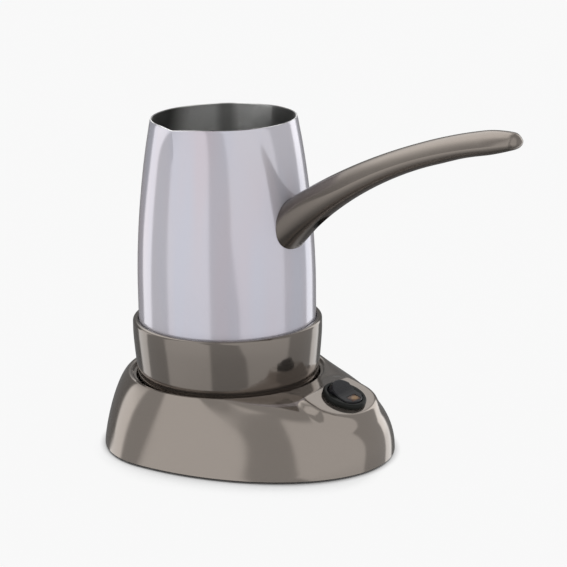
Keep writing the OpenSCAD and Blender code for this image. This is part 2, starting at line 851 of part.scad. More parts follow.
module pot_plug() {
  ear_h = 5.4;
  color(black) difference() {
    union() {
      translate([-dock_w / 2 - plug_wall, -dock_l / 2 - plug_wall, cover_top])
        cube([dock_w + 2 * plug_wall, dock_l + 2 * plug_wall, plug_top - cover_top]);
      ear_bar(cover_top, ear_h);
    }
    translate([-dock_w / 2, -dock_l / 2, cover_top - 1])
      cube([dock_w, dock_l, plug_roof_z - cover_top + 1]);
    flat_pins(plug_roof_z - 1, plug_top + 1);
    coupler_screw_places() translate([0, 0, cover_top - 1]) cylinder(r = screw_r, h = ear_h);
  }
}

module flat_pins(low, high) {
  for (k = [-1:1]) translate([-pin_w / 2, k * pin_pitch - pin_t / 2, low]) cube([pin_w, pin_t, high - low]);
}

module plug_pins() {
  color(brass) flat_pins(pin_tip, plug_top + tab_l);
}

// Outside radius of the pot's wall at a height, without its lips
function pot_r_at(z) =
  z < narrow_z ? pot_r : pot_r - (pot_r - rim_r) * pow((z - narrow_z) / (rim_z - narrow_z), pot_curve);
function lip_share(a) = pow(max(0, 1 - abs(abs(a) - 90) / lip_angle), 1.5);
function fade_at(z) = pow(pick((z - rim_z + lip_fade) / lip_fade), 1.8);
function rim_dip(a, z) = lip_dip * lip_share(a) * fade_at(z);
// Angles from -180 to 180, closer together at the lips
function pot_angle(i, n) = let (t = -180 + i * 360 / n) t + 18 * sin(2 * t);
function pot_ring(z, inset, n) = [
  for (i = [0:n - 1])
    let (
      a = pot_angle(i, n),
      oval = -rim_oval * cos(2 * a) * fade_at(z),
      r = pot_r_at(z) - inset + oval + lip_out * lip_share(a) * fade_at(z)
    )
    [r * cos(a), r * sin(a), z - rim_dip(a, z)]
];

// A ring of the rounding between the pot's wall and its bottom
function pot_edge_ring(a, inset, n) =
  let (
    r = pot_r - pot_edge_r + (pot_edge_r - inset) * cos(a),
    z = pot_z + pot_edge_r - (pot_edge_r - inset) * sin(a)
  )
  [for (i = [0:n - 1]) let (b = pot_angle(i, n)) [r * cos(b), r * sin(b), z]];

module pot_body() {
  n = 72;
  wall_steps = 6;
  lip_z = rim_z - lip_fade;
  wall = [for (i = [0:wall_steps]) narrow_z + (lip_z - narrow_z) * i / wall_steps];
  mouth = [for (i = [1:5]) lip_z + lip_fade * i / 5];
  levels = concat(wall, mouth);
  last = len(levels) - 1;
  color(pearl) rings_solid(concat(
    [for (a = [90:-30:0]) pot_edge_ring(a, 0, n)],
    [for (z = levels) pot_ring(z, 0, n)],
    [for (i = [last:-1:0]) pot_ring(levels[i], pot_wall, n)],
    [for (a = [0:30:90]) pot_edge_ring(a, pot_wall, n)]
  ));
}

// ---- Heater

module heat_plate() {
  color(steel) difference() {
    translate([0, 0, heat_plate_z]) cylinder(r = heat_plate_r, h = heat_plate_t);
    for (side = [-1, 1]) translate([0, side * strap_screw_y, heat_plate_z - 1])
      cylinder(r = screw_r, h = 0.8 * heat_plate_t + 1);
  }
}

module heating_element() {
  color([0.45, 0.44, 0.43]) difference() {
    union() {
      rotate(-element_end) rotate_extrude(angle = 2 * element_end)
        translate([element_ring, element_z]) circle(r = element_r);
      for (side = [-1, 1]) rotate(side * element_end) translate([element_ring, 0, element_z]) {
        sphere(r = element_r);
        translate([0, 0, -element_r - cold_end_l])
          cylinder(r = 0.7 * element_r, h = element_r + cold_end_l);
      }
    }
    // The side that is brazed to the plate
    translate([0, 0, heat_plate_z]) cylinder(r = heat_plate_r, h = 2 * element_r);
  }
}

module element_terminals() {
  color(steel) for (side = [-1, 1]) rotate(side * element_end)
    translate([element_ring, 0, element_pin_z]) cylinder(r = element_pin_r, h = tab_l);
}

module mounting_posts() {
  color(steel) post_places() translate([0, 0, cover_top]) difference() {
    cylinder(r = post_r, h = heat_plate_z - cover_top);
    translate([0, 0, -1]) cylinder(r = screw_r, h = pilot_l);
  }
}

module thermal_cutout() {
  color([0.80, 0.78, 0.70]) {
    translate([0, 0, cutout_z]) cylinder(r = cutout_r, h = cutout_h);
    for (side = [0, 180]) rotate(side) translate([cutout_r - 2, -2.5, cutout_z + 1]) cube([7, 5, 0.8]);
  }
}

module cutout_strap() {
  color(steel) difference() {
    union() {
      translate([-strap_w / 2, -strap_half, cutout_z - strap_t]) cube([strap_w, 2 * strap_half, strap_t]);
      for (side = [0, 180]) rotate(side) {
        translate([-strap_w / 2, strap_half - strap_t, cutout_z - strap_t])
          cube([strap_w, strap_t, cutout_h + strap_t]);
        translate([-strap_w / 2, strap_half - strap_t, heat_plate_z - strap_t])
          cube([strap_w, strap_foot + strap_t, strap_t]);
      }
    }
    for (side = [-1, 1]) translate([0, side * strap_screw_y, heat_plate_z - strap_t - 1])
      cylinder(r = screw_r + snug, h = strap_t + 2);
  }
}

module strap_screws() {
  color(steel) for (side = [-1, 1]) translate([0, side * strap_screw_y, heat_plate_z - strap_t])
    screw(screw_r, strap_t + 0.6 * heat_plate_t, 1.8 * screw_r, small_head_l);
}

// ---- Leads of the pot

plug_tab_z = plug_top + tab_l - lead_r - 0.4;
cutout_tab_z = cutout_z + 1 - lead_r;
element_lead_x = element_ring * cos(element_end) + element_pin_r;
element_lead_y = element_ring * sin(element_end);
element_lead_z = element_pin_z + lead_r + 0.6;
earth_post = [cos(30), sin(30)];

module pot_live_leads() {
  color("saddlebrown") {
    lead([
      [0, -pin_pitch - pin_t / 2, plug_tab_z], [0, -pin_pitch - 9, plug_tab_z],
      [24, -14, cutout_tab_z], [cutout_r + 3, 0, cutout_tab_z]
    ]);
    lead([
      [-cutout_r - 3, 0, cutout_tab_z], [-cutout_r - 8, 0, cutout_tab_z],
      [element_lead_x + 8, -element_lead_y, element_lead_z],
      [element_lead_x, -element_lead_y, element_lead_z]
    ]);
  }
}

module pot_neutral_lead() {
  color("royalblue") lead([
    [0, pin_pitch + pin_t / 2, plug_tab_z], [0, pin_pitch + 9, plug_tab_z],
    [element_lead_x + 12, element_lead_y, element_lead_z],
    [element_lead_x, element_lead_y, element_lead_z]
  ]);
}

module pot_earth_lead() {
  color("olivedrab") lead([
    [pin_w / 2, 0, plug_tab_z], [pin_w / 2 + 10, 0, plug_tab_z],
    [for (v = earth_post * (post_ring - post_r - 12)) v, plug_tab_z + 2],
    [for (v = earth_post * (post_ring - post_r)) v, plug_tab_z + 2]
  ]);
}

// ---- Handle

function tip_share(t) = 1 - 0.46 * pow(pick((t - 0.9) / 0.1), 1.7);
function half_h_at(t) =
  (grip_half_h + (root_half_h - grip_half_h) * pow(max(0, 1 - t / 0.7), 1.6)) * tip_share(t);
function half_w_at(t) =
  (grip_half_w + (root_half_w - grip_half_w) * pow(max(0, 1 - t / 0.5), 1.6)) * tip_share(t);
function handle_ring(t, n) =
  let (
    middle = curve(handle_path, t),
    ahead = heading(handle_path, t),
    above = [-ahead.y, ahead.x]
  )
  [
    for (i = [0:n - 1])
      let (
        a = i * 360 / n,
        side = half_w_at(t) * power(cos(a), 0.9),
        up = half_h_at(t) * power(sin(a), 0.9)
      )
      [middle.x + up * above.x, side, middle.y + up * above.y]
  ];

boss_x = pot_r_at(bracket_low) + 0.4;
head_x = boss_x + boss_l + boss_cover;

// Places its children on the handle screw's axis, with z along +X
module at_handle_screw(x) {
  translate([x, 0, handle_screw_z]) rotate([0, 90, 0]) children();
}

module handle() {
  rings = 34;
  reach = 2 * root_half_h;
  color(pewter) difference() {
    rings_solid([
      for (j = [0:rings]) handle_ring(1 - (1 + root_run) * pow(1 - j / rings, 1.3), 28)
    ]);
    // Seat on the pot's wall
    rotate_extrude() polygon(concat(
      [[0, root_z - reach]],
      [for (i = [-4:4]) let (z = root_z + i / 4 * reach) [pot_r_at(z) + snug, z]],
      [[0, root_z + reach]]
    ));
    // Room for the bracket and the screw
    bracket(snug);
    at_handle_screw(root_x) cylinder(r = boss_r + snug, h = boss_x + boss_l + snug - root_x);
    at_handle_screw(root_x) cylinder(r = handle_screw_r + snug, h = head_x + 1 - root_x);
    at_handle_screw(head_x) cylinder(r = handle_head_r + snug, h = 30);
  }
}

// The bracket's plate, which follows the pot's wall
module bracket(gap) {
  near = weld_gap - gap;
  far = weld_gap + bracket_t + gap;
  half = bracket_angle + atan(gap / pot_r);
  rotate(-half) rotate_extrude(angle = 2 * half) polygon([
    [pot_r_at(bracket_low) + near, bracket_low - gap], [pot_r_at(bracket_low) + far, bracket_low - gap],
    [pot_r_at(bracket_high) + far, bracket_high + gap], [pot_r_at(bracket_high) + near, bracket_high + gap]
  ]);
}

module handle_bracket() {
  color(steel) difference() {
    union() {
      bracket(0);
      at_handle_screw(boss_x) cylinder(r = boss_r, h = boss_l);
    }
    at_handle_screw(boss_x + 1) cylinder(r = handle_screw_r, h = boss_l);
  }
}

module handle_screw() {
  color(steel) at_handle_screw(head_x) mirror([0, 0, 1])
    screw(handle_screw_r, boss_cover + boss_l - 1.5, handle_head_r, handle_head_l);
}

module handle_cap() {
  color(black) at_handle_screw(head_x + handle_head_l) cylinder(r = handle_head_r, h = handle_cap_t);
}

base_housing();
base_plate();
foot_ring();
nose_foot();
base_screws();
power_socket();
socket_contacts();
socket_screws();
switch_frame();
switch_terminals();
rocker();
rocker_lens();
indicator_lamp();
cord_gland();
cord_clamp();
clamp_screws();
base_live_leads();
base_neutral_leads();
base_earth_lead();
pot_body();
collar();
collar_seal();
collar_cover();
cover_screws();
pot_plug();
plug_pins();
plug_screws();
heat_plate();
heating_element();
element_terminals();
mounting_posts();
thermal_cutout();
cutout_strap();
strap_screws();
pot_live_leads();
pot_neutral_lead();
pot_earth_lead();
handle();
handle_bracket();
handle_screw();
handle_cap();
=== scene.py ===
import bmesh
import bpy
import json
import math
from mathutils import Matrix, Vector


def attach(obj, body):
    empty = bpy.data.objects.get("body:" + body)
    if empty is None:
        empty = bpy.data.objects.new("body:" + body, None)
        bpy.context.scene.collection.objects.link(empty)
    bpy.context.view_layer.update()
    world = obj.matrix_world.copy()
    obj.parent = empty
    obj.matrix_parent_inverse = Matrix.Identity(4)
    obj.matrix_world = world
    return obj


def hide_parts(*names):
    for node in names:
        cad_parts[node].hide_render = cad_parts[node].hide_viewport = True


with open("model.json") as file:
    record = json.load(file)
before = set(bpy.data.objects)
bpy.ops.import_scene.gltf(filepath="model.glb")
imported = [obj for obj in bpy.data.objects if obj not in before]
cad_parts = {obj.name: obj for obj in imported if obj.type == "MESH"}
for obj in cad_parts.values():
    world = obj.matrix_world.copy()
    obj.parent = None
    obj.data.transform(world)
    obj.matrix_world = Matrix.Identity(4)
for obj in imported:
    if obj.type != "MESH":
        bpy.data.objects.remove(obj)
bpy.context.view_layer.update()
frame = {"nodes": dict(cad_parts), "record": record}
scene = bpy.context.scene
scene.view_settings.view_transform = "Standard"
mm = 0.001
print("frame loaded with", len(frame["nodes"]), "nodes")

# Lengths below are in millimetres and angles in degrees, unless a note says otherwise. The origin is on
# the pot's axis at the table, with the handle, the switch and the nose of the base along +X, and the
# pouring lips along +Y and -Y.


def cosine(angle):
    return math.cos(math.radians(angle))


def sine(angle):
    return math.sin(math.radians(angle))


def slope(angle):
    return math.tan(math.radians(angle))


def clamp(value):
    return min(1.0, max(0.0, value))


def smooth(value):
    value = clamp(value)
    return value * value * (3 - 2 * value)


def turned(angle, axis):
    return Matrix.Rotation(math.radians(angle), 4, axis)


cameraValues = {
    "place": (0.6003, -0.7546, 0.3500),  # metres, as are target and nearest
    "target": (0.02352, 0.01586, 0.07848),
    "roll": -0.61,
    "lens": 126.84,
    "sensor": 36,
    "nearest": 0.01,
}


def addCamera():
    data = bpy.data.cameras.new("camera")
    data.lens = cameraValues["lens"]
    data.sensor_width = cameraValues["sensor"]
    data.clip_start = cameraValues["nearest"]
    camera = bpy.data.objects.new("camera", data)
    scene.collection.objects.link(camera)
    place = Vector(cameraValues["place"])
    ahead = (Vector(cameraValues["target"]) - place).to_track_quat("-Z", "Y").to_matrix().to_4x4()
    camera.matrix_world = Matrix.Translation(place) @ ahead @ turned(cameraValues["roll"], "Z")
    scene.camera = camera


addCamera()
print("camera placed")


class Socket:
    # A node's output that takes part in sums
    def __init__(self, nodes, output):
        self.nodes = nodes
        self.output = output

    def maths(self, operation, *values):
        return self.nodes.add("ShaderNodeMath", {"operation": operation}, values or (self,))

    def __add__(self, other):
        return self.maths("ADD", self, other)

    def __radd__(self, other):
        return self.maths("ADD", other, self)

    def __sub__(self, other):
        return self.maths("SUBTRACT", self, other)

    def __rsub__(self, other):
        return self.maths("SUBTRACT", other, self)

    def __mul__(self, other):
        return self.maths("MULTIPLY", self, other)

    def __rmul__(self, other):
        return self.maths("MULTIPLY", other, self)

    def __truediv__(self, other):
        return self.maths("DIVIDE", self, other)

    def __rtruediv__(self, other):
        return self.maths("DIVIDE", other, self)

    def __pow__(self, other):
        return self.maths("POWER", self, other)

    def __rpow__(self, other):
        return self.maths("POWER", other, self)

    def __neg__(self):
        return self.maths("MULTIPLY", self, -1)

    def atLeast(self, other):
        return self.maths("MAXIMUM", self, other)

    def atMost(self, other):
        return self.maths("MINIMUM", self, other)

    def edge(self, soft):
        # 0 below zero and 1 above it, with a soft step this wide
        return self.nodes.add(
            "ShaderNodeMapRange", {"interpolation_type": "SMOOTHSTEP"},
            {"Value": self, "From Min": -soft / 2, "From Max": soft / 2})


class Nodes:
    def __init__(self, tree):
        self.tree = tree

    def put(self, socket, value):
        if isinstance(value, Socket):
            self.tree.links.new(value.output, socket)
        else:
            socket.default_value = value

    def add(self, kind, settings={}, sockets={}, output=0):
        # Sockets are given by name or number, or as a list in the node's own order
        node = self.tree.nodes.new(kind)
        for key, value in settings.items():
            setattr(node, key, value)
        for key, value in (sockets.items() if isinstance(sockets, dict) else enumerate(sockets)):
            self.put(node.inputs[key], value)
        return Socket(self, node.outputs[output])

    def split(self, vector):
        # The vector's x, y and z
        parts = self.add("ShaderNodeSeparateXYZ", {}, (vector,)).output.node.outputs
        return [Socket(self, part) for part in parts]

    def rays(self):
        # 1 for camera rays, and 1 for glossy rays
        parts = self.add("ShaderNodeLightPath").output.node.outputs
        return [Socket(self, parts[key]) for key in ("Is Camera Ray", "Is Glossy Ray")]

    def place(self, stretch=(1, 1, 1)):
        # The piece's own coordinates, in metres, stretched along each axis
        spot = self.add("ShaderNodeTexCoord", output="Object")
        return self.add("ShaderNodeVectorMath", {"operation": "MULTIPLY"}, (spot, stretch))

    def noise(self, size, detail=2, stretch=(1, 1, 1), where=None):
        # Grey noise whose blotches are about this many millimetres across
        return self.add("ShaderNodeTexNoise", {}, {
            "Vector": where or self.place(stretch), "Scale": 1 / (size * mm), "Detail": detail})

    def blend(self, factor, first, second):
        colours = [(*colour, 1) if isinstance(colour, tuple) else colour for colour in (first, second)]
        return self.add(
            "ShaderNodeMix", {"data_type": "RGBA"}, {0: factor, 6: colours[0], 7: colours[1]}, 2)

    def spread(self, value, low, high, fromLow=0.3, fromHigh=0.7):
        return self.add("ShaderNodeMapRange", {}, {
            "Value": value, "From Min": fromLow, "From Max": fromHigh, "To Min": low, "To Max": high})

    def bump(self, height, distance, strength):
        return self.add("ShaderNodeBump", {}, {
            "Strength": strength, "Distance": distance * mm, "Height": height})


def makeFinish(name, paint):
    # paint(nodes) gives the principled shader's sockets by name
    material = bpy.data.materials.new(name)
    material.use_nodes = True
    nodes = Nodes(material.node_tree)
    shader = material.node_tree.nodes["Principled BSDF"]
    for key, value in paint(nodes).items():
        nodes.put(shader.inputs[key], value)
    return material


pewterValues = {
    "light": (0.335, 0.295, 0.262),
    "dark": (0.300, 0.262, 0.232),
    "metal": 0.86,
    "roughness": (0.085, 0.125),
    "satinRoughness": (0.17, 0.24),
    "smudge": 9,
    "coat": 0.35,
    "satinCoat": 0.1,
    "coatRoughness": 0.04,
    "flake": 0.14,
    "flakeShare": 0.7,  # the rest is the slow cloud's
    "cloud": 30,
    "peel": 2.6,
    "peelDepth": 0.004,
    "peelStrength": 0.5,
    # The collar and the handle take darker copies of the pewter colour as painted shade
    "collarPaintedShade": 0.70,
    "handlePaintedShade": 0.84,
    "rootPaintedShade": 0.52,  # the handle's colour is painted darker toward its root, as painted shade
    "rootEnd": 70.0,
    "rootFade": 60.0,
}


def withPaintedShade(colour, shade):
    return tuple(part * shade for part in colour)


def lacquer(nodes, values, colour, roughness, coat):
    return {
        "Base Color": colour,
        "Metallic": values["metal"],
        "Roughness": nodes.spread(nodes.noise(values["smudge"], 4), *roughness),
        "Coat Weight": coat,
        "Coat Roughness": values["coatRoughness"],
        "Normal": nodes.bump(
            nodes.noise(values["peel"], 1), values["peelDepth"], values["peelStrength"]),
    }


def paintPewter(nodes, shade=1.0, satin=False):
    # shade darkens the whole colour as painted shade and is 1 for the base; satin is a rougher lacquer,
    # with painted shade toward the handle's root
    values = pewterValues
    flakes = nodes.add("ShaderNodeTexVoronoi", {}, {
        "Vector": nodes.place(), "Scale": 1 / (values["flake"] * mm)}, "Color")
    sparkle = nodes.add("ShaderNodeSeparateColor", {}, (flakes,))
    share = values["flakeShare"]
    mask = (sparkle * share + nodes.noise(values["cloud"], 1) * (1 - share)).atMost(1)
    colour = nodes.blend(mask, withPaintedShade(values["dark"], shade), withPaintedShade(values["light"], shade))
    if satin:
        # Painted shade: the colour darkens toward the handle's root, where it meets the pot
        x = nodes.split(nodes.place((1 / mm, 1 / mm, 1 / mm)))[0]
        near = (values["rootEnd"] - x).edge(values["rootFade"])
        colour = nodes.blend(near, colour, withPaintedShade(values["dark"], values["rootPaintedShade"]))
        return lacquer(nodes, values, colour, values["satinRoughness"], values["satinCoat"])
    return lacquer(nodes, values, colour, values["roughness"], values["coat"])


pearlValues = {
    "lilac": (0.618, 0.600, 0.659),
    "rose": (0.618, 0.569, 0.628),
    "blue": (0.589, 0.589, 0.669),
    "roseSize": 26,
    "roseStretch": (1, 1, 0.18),
    "roseRange": (0.42, 0.66),
    "blueSize": 17,
    "blueStretch": (1.3, 1, 0.12),
    "blueRange": (0.46, 0.70),
    "metal": 0.42,
    "roughness": (0.10, 0.14),
    "smudge": 12,
    "coat": 0.2,
    "coatRoughness": 0.05,
    "peel": 3.4,
    "peelDepth": 0.004,
    "peelStrength": 0.4,
}


def paintPearl(nodes):
    values = pearlValues
    drift = nodes.noise(values["roseSize"], 1, values["roseStretch"])
    sheen = nodes.noise(values["blueSize"], 1, values["blueStretch"])
    warm = nodes.blend(
        nodes.spread(drift, 0, 1, *values["roseRange"]), values["lilac"], values["rose"])
    colour = nodes.blend(nodes.spread(sheen, 0, 1, *values["blueRange"]), warm, values["blue"])
    return lacquer(nodes, values, colour, values["roughness"], values["coat"])


brushedValues = {
    # The bright and dark colours of the painted reflection bands
    "paintedLight": (1.0, 1.0, 0.99),
    "paintedDark": (0.170, 0.170, 0.168),
    "roughness": (0.42, 0.52),
    "bands": 3,
    "bandTurn": 132.0,
    "bandHalf": 35.5,
    "bandSoft": 26,
    "bandShare": 0.95,
    "reflectionDip": 0.62,  # a painted darker reflection stripe inside each painted bright band
    "dipTurn": 126.5,
    "dipHalf": 6.5,
    "dipSoft": 9,
    "line": 0.5,
    "lineRadius": 0.004,  # metres of line for each radian, so lines run long round the pot
    "lineShare": 0.1,
    "lineDepth": 0.003,
    "lineStrength": 0.25,
}


def paintBrushed(nodes):
    # Spun steel, brushed round the pot, with the broad light and dark bands of a turned bowl's reflection
    # painted into its colour as painted highlight and shade
    values = brushedValues
    x, y, z = nodes.split(nodes.place())
    turn = y.maths("ARCTAN2", y, x)
    period = 360 / values["bands"]

    def nearReflectionBand(middle, half, soft):
        # Ten periods more keep the fraction's argument above zero, and the half one centres it
        away = ((turn * (180 / math.pi) - middle) / period + 10.5).maths("FRACT")
        return (half - ((away - 0.5) * period).maths("ABSOLUTE")).edge(soft)

    wound = nodes.add("ShaderNodeCombineXYZ", {}, (turn * values["lineRadius"], 0.0, z))
    lines = nodes.noise(values["line"], 2, where=wound)
    # Painted reflection: bright bands by angle round the pot, each with a painted darker stripe, plus the
    # real brush lines
    reflectionBand = nearReflectionBand(values["bandTurn"], values["bandHalf"], values["bandSoft"])
    reflectionDip = nearReflectionBand(values["dipTurn"], values["dipHalf"], values["dipSoft"])
    mask = reflectionBand * (1 - reflectionDip * values["reflectionDip"]) * values["bandShare"] + lines * values["lineShare"]
    return {
        "Base Color": nodes.blend(mask, values["paintedDark"], values["paintedLight"]),
        "Metallic": 1.0,
        "Roughness": nodes.spread(lines, *values["roughness"]),
        "Normal": nodes.bump(lines, values["lineDepth"], values["lineStrength"]),
    }


def metalFinish(light, dark, roughness, grain, stretch=(1, 1, 1), depth=0.01, strength=0.4):
    def paint(nodes):
        blotches = nodes.noise(grain, 4, stretch)
        return {
            "Base Color": nodes.blend(blotches, dark, light),
            "Metallic": 1.0,
            "Roughness": nodes.spread(blotches, *roughness),
            "Normal": nodes.bump(blotches, depth, strength),
        }
    return paint


def plasticFinish(
        light, dark, roughness, grain, depth, coat=0.0, coatRoughness=0.08, shine=0.5, wear=14,
        strength=0.6):
    def paint(nodes):
        texture = nodes.noise(grain, 3)
        patches = nodes.noise(wear, 4)
        return {
            "Base Color": nodes.blend(nodes.spread(patches, 0, 1), dark, light),
            "Roughness": nodes.spread(patches, *roughness),
            "Specular IOR Level": shine,
            "Coat Weight": coat,
            "Coat Roughness": coatRoughness,
            "Normal": nodes.bump(texture, depth, strength),
        }
    return paint


amberValues = {
    # The painted warm highlight's colour, and the darker amber round it
    "paintedLight": (0.25, 0.150, 0.070),
    "deep": (0.055, 0.024, 0.014),
    "rib": 0.55,  # the ribs' spacing divided by 2 pi
    "ribDepth": 0.02,
    "ribStrength": 0.5,
    "glow": (0.58, 0.60),  # the painted warm highlight's middle, as shares of the window's length and width
    "glowRadius": 0.27,
    "glowNarrow": 1.1,
    "glowSoft": 0.3,
    "ripple": 0.12,
    "rippleSize": 1.4,
    "roughness": (0.12, 0.24),
    "smudge": 1.2,
    "shine": 0.3,
    "coat": 0.1,
    "coatRoughness": 0.05,
}


def paintAmber(nodes):
    # Amber with a painted warm highlight in its middle, and darker amber round it
    values = amberValues
    ribs = nodes.add("ShaderNodeTexWave", {"bands_direction": "Y"}, {
        "Vector": nodes.place(), "Scale": 1 / (20 * values["rib"] * mm), "Distortion": 0.0})
    x, y, _z = nodes.split(nodes.add("ShaderNodeTexCoord", output="Generated"))
    middle = values["glow"]
    away = (((x - middle[0]) * values["glowNarrow"]) ** 2 + (y - middle[1]) ** 2).maths("SQRT")
    ripple = nodes.noise(values["rippleSize"], 2) * values["ripple"]
    # Painted highlight: a warm spot in the window's middle, with a rippled edge
    glow = (values["glowRadius"] - away + ripple).edge(values["glowSoft"])
    return {
        "Base Color": nodes.blend(glow, values["deep"], values["paintedLight"]),
        "Roughness": nodes.spread(nodes.noise(values["smudge"], 3), *values["roughness"]),
        "Specular IOR Level": values["shine"],
        "Coat Weight": values["coat"],
        "Coat Roughness": values["coatRoughness"],
        "Normal": nodes.bump(ribs, values["ribDepth"], values["ribStrength"]),
    }


def sleeveFinish(light, dark):
    return plasticFinish(light, dark, roughness=(0.46, 0.60), grain=0.6, depth=0.012)


# One finish for each material slot of the record
finishes = {
    "pewter_plastic": makeFinish("pewterLacquer", paintPewter),
    "pot_lacquer": makeFinish("pearlLacquer", paintPearl),
    "black_plastic": makeFinish("grainedBlack", plasticFinish(
        light=(0.012, 0.013, 0.012), dark=(0.007, 0.008, 0.007), roughness=(0.36, 0.50),
        grain=0.45, depth=0.015, shine=0.18)),
    "rocker_black": makeFinish("glossBlack", plasticFinish(
        light=(0.012, 0.012, 0.015), dark=(0.007, 0.007, 0.009), roughness=(0.20, 0.32),
        grain=0.3, depth=0.006, coat=0.05, shine=0.22)),
    "gland_rubber": makeFinish("rubber", plasticFinish(
        light=(0.026, 0.026, 0.026), dark=(0.016, 0.016, 0.016), roughness=(0.66, 0.86),
        grain=0.8, depth=0.03)),
    "lamp_amber": makeFinish("amberLens", paintAmber),
    "lamp_glass": makeFinish("lampGlass", plasticFinish(
        light=(0.80, 0.55, 0.40), dark=(0.60, 0.36, 0.25), roughness=(0.05, 0.12),
        grain=0.8, depth=0.004, coat=0.8)),
    "screw_steel": makeFinish("zincSteel", metalFinish(
        light=(0.60, 0.60, 0.60), dark=(0.46, 0.46, 0.47), roughness=(0.24, 0.40), grain=0.5)),
    "contact_brass": makeFinish("brassStrip", metalFinish(
        light=(0.74, 0.55, 0.25), dark=(0.60, 0.43, 0.18), roughness=(0.22, 0.36), grain=0.5,
        stretch=(1, 1, 0.2))),
    "heater_aluminium": makeFinish("turnedAluminium", metalFinish(
        light=(0.72, 0.72, 0.73), dark=(0.60, 0.60, 0.61), roughness=(0.28, 0.42), grain=0.4)),
    "element_steel": makeFinish("heatedSteel", metalFinish(
        light=(0.34, 0.32, 0.30), dark=(0.20, 0.18, 0.17), roughness=(0.38, 0.56), grain=2.0)),
    "cutout_body": makeFinish("creamResin", plasticFinish(
        light=(0.66, 0.61, 0.48), dark=(0.58, 0.53, 0.41), roughness=(0.40, 0.52),
        grain=0.5, depth=0.01)),
    "lead_brown": makeFinish("brownSleeve", sleeveFinish(
        light=(0.090, 0.032, 0.012), dark=(0.065, 0.022, 0.008))),
    "lead_blue": makeFinish("blueSleeve", sleeveFinish(
        light=(0.020, 0.070, 0.300), dark=(0.014, 0.050, 0.220))),
    "lead_green": makeFinish("greenSleeve", sleeveFinish(
        light=(0.055, 0.230, 0.030), dark=(0.600, 0.480, 0.030))),
}
potSteel = makeFinish("spunSteel", paintBrushed)
# Darker copies of the pewter, as painted shade, for the collar and the handle
collarPewterPaintedShade = makeFinish(
    "collarLacquerPaintedShade", lambda nodes: paintPewter(nodes, pewterValues["collarPaintedShade"]))
handlePewterPaintedShade = makeFinish(
    "handleLacquerPaintedShade", lambda nodes: paintPewter(nodes, pewterValues["handlePaintedShade"], True))

for subpart in frame["record"]["subparts"]:
    for slot in frame["nodes"][subpart["node"]].material_slots:
        slot.material = finishes[subpart["material_slot"]]
print("finishes made:", len(finishes) + 3)


def circle(radius, height, columns, middle=(0, 0)):
    angles = [360 * k / columns for k in range(columns)]
    return [(middle[0] + radius * cosine(a), middle[1] + radius * sine(a), height) for a in angles]


def arc(middle, radius, start, end, steps):
    return [
        (middle[0] + radius * cosine(start + (end - start) * i / steps),
         middle[1] + radius * sine(start + (end - start) * i / steps))
        for i in range(steps + 1)]


def loft(rings):
    # Faces between rings of equal length, with a face on each end
    columns = len(rings[0])
    points = [point for ring in rings for point in ring]
    faces = []
    for j in range(len(rings) - 1):
        low, high = j * columns, (j + 1) * columns
        for k in range(columns):
            m = (k + 1) % columns
            faces.append((low + k, low + m, high + m, high + k))
    last = (len(rings) - 1) * columns
    faces.append(tuple(reversed(range(columns))))
    faces.append(tuple(range(last, last + columns)))
    return points, faces


def revolve(profile, columns):
    # A closed outline of (radius, height) points, turned about the vertical axis
    points, rings = [], []
    for radius, height in profile:
        ring = [(0, 0, height)] if radius < 1e-6 else circle(radius, height, columns)
        rings.append(range(len(points), len(points) + len(ring)))
        points += ring
    faces = []
    for i, low in enumerate(rings):
        high = rings[(i + 1) % len(rings)]
        if len(low) == 1 and len(high) == 1:
            continue
        for k in range(columns):
            m = (k + 1) % columns
            corners = [low[k % len(low)], low[m % len(low)], high[m % len(high)], high[k % len(high)]]
            faces.append(tuple(dict.fromkeys(corners)))
    return points, faces


def rectangle(low, high, corner):
    # Its outline, with rounded corners
    x = (low[0] + corner, high[0] - corner)
    y = (low[1] + corner, high[1] - corner)
    middles = [(x[1], y[1], 0), (x[0], y[1], 90), (x[0], y[0], 180), (x[1], y[0], 270)]
    return [
        point for cx, cy, start in middles
        for point in (arc((cx, cy), corner, start, start + 90, 6) if corner else [(cx, cy)])]


def block(low, high, corner=0.0):
    outline = rectangle(low, high, corner)
    return loft([[(x, y, z) for x, y in outline] for z in (low[2], high[2])])


def halve(low, high, inside):
    # Closes in on the place between them where inside(value) stops being true
    for _ in range(30):
        middle = (low + high) / 2
        if inside(middle):
            low = middle
        else:
            high = middle
    return low, high


def makeMesh(name, shape, matrix=Matrix()):
    points, faces = shape
    mesh = bpy.data.meshes.new(name)
    mesh.from_pydata([matrix @ Vector(point) * mm for point in points], [], faces)
    work = bmesh.new()
    work.from_mesh(mesh)
    bmesh.ops.recalc_face_normals(work, faces=work.faces)
    work.to_mesh(mesh)
    work.free()
    piece = bpy.data.objects.new(name, mesh)
    scene.collection.objects.link(piece)
    return piece


def bake(piece):
    # Applies the piece's modifiers
    view = bpy.context.evaluated_depsgraph_get()
    mesh = bpy.data.meshes.new_from_object(piece.evaluated_get(view))
    piece.modifiers.clear()
    piece.data = mesh


def shapeWith(piece, operation, *tools):
    # Cuts tools out of the piece, or joins them to it
    for tool in tools:
        change = piece.modifiers.new("shape", "BOOLEAN")
        change.operation = operation
        change.solver = "EXACT"
        change.object = tool
    bake(piece)
    for tool in tools:
        bpy.data.objects.remove(tool)


def bevel(piece, width, sharp):
    change = piece.modifiers.new("bevel", "BEVEL")
    change.width = width * mm
    change.segments = 2
    change.limit_method = "ANGLE"
    change.angle_limit = math.radians(sharp)
    change.harden_normals = False
    bake(piece)


def dress(piece, node, body, slot, sharp=32):
    # Smooth shading but for sharp edges, the slot's finish, and the node that the piece stands for
    mesh = piece.data
    if not mesh.materials:
        mesh.materials.append(finishes[slot])
    mesh.polygons.foreach_set("use_smooth", [True] * len(mesh.polygons))
    mesh.set_sharp_from_angle(angle=math.radians(sharp))
    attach(piece, body)
    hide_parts(node)


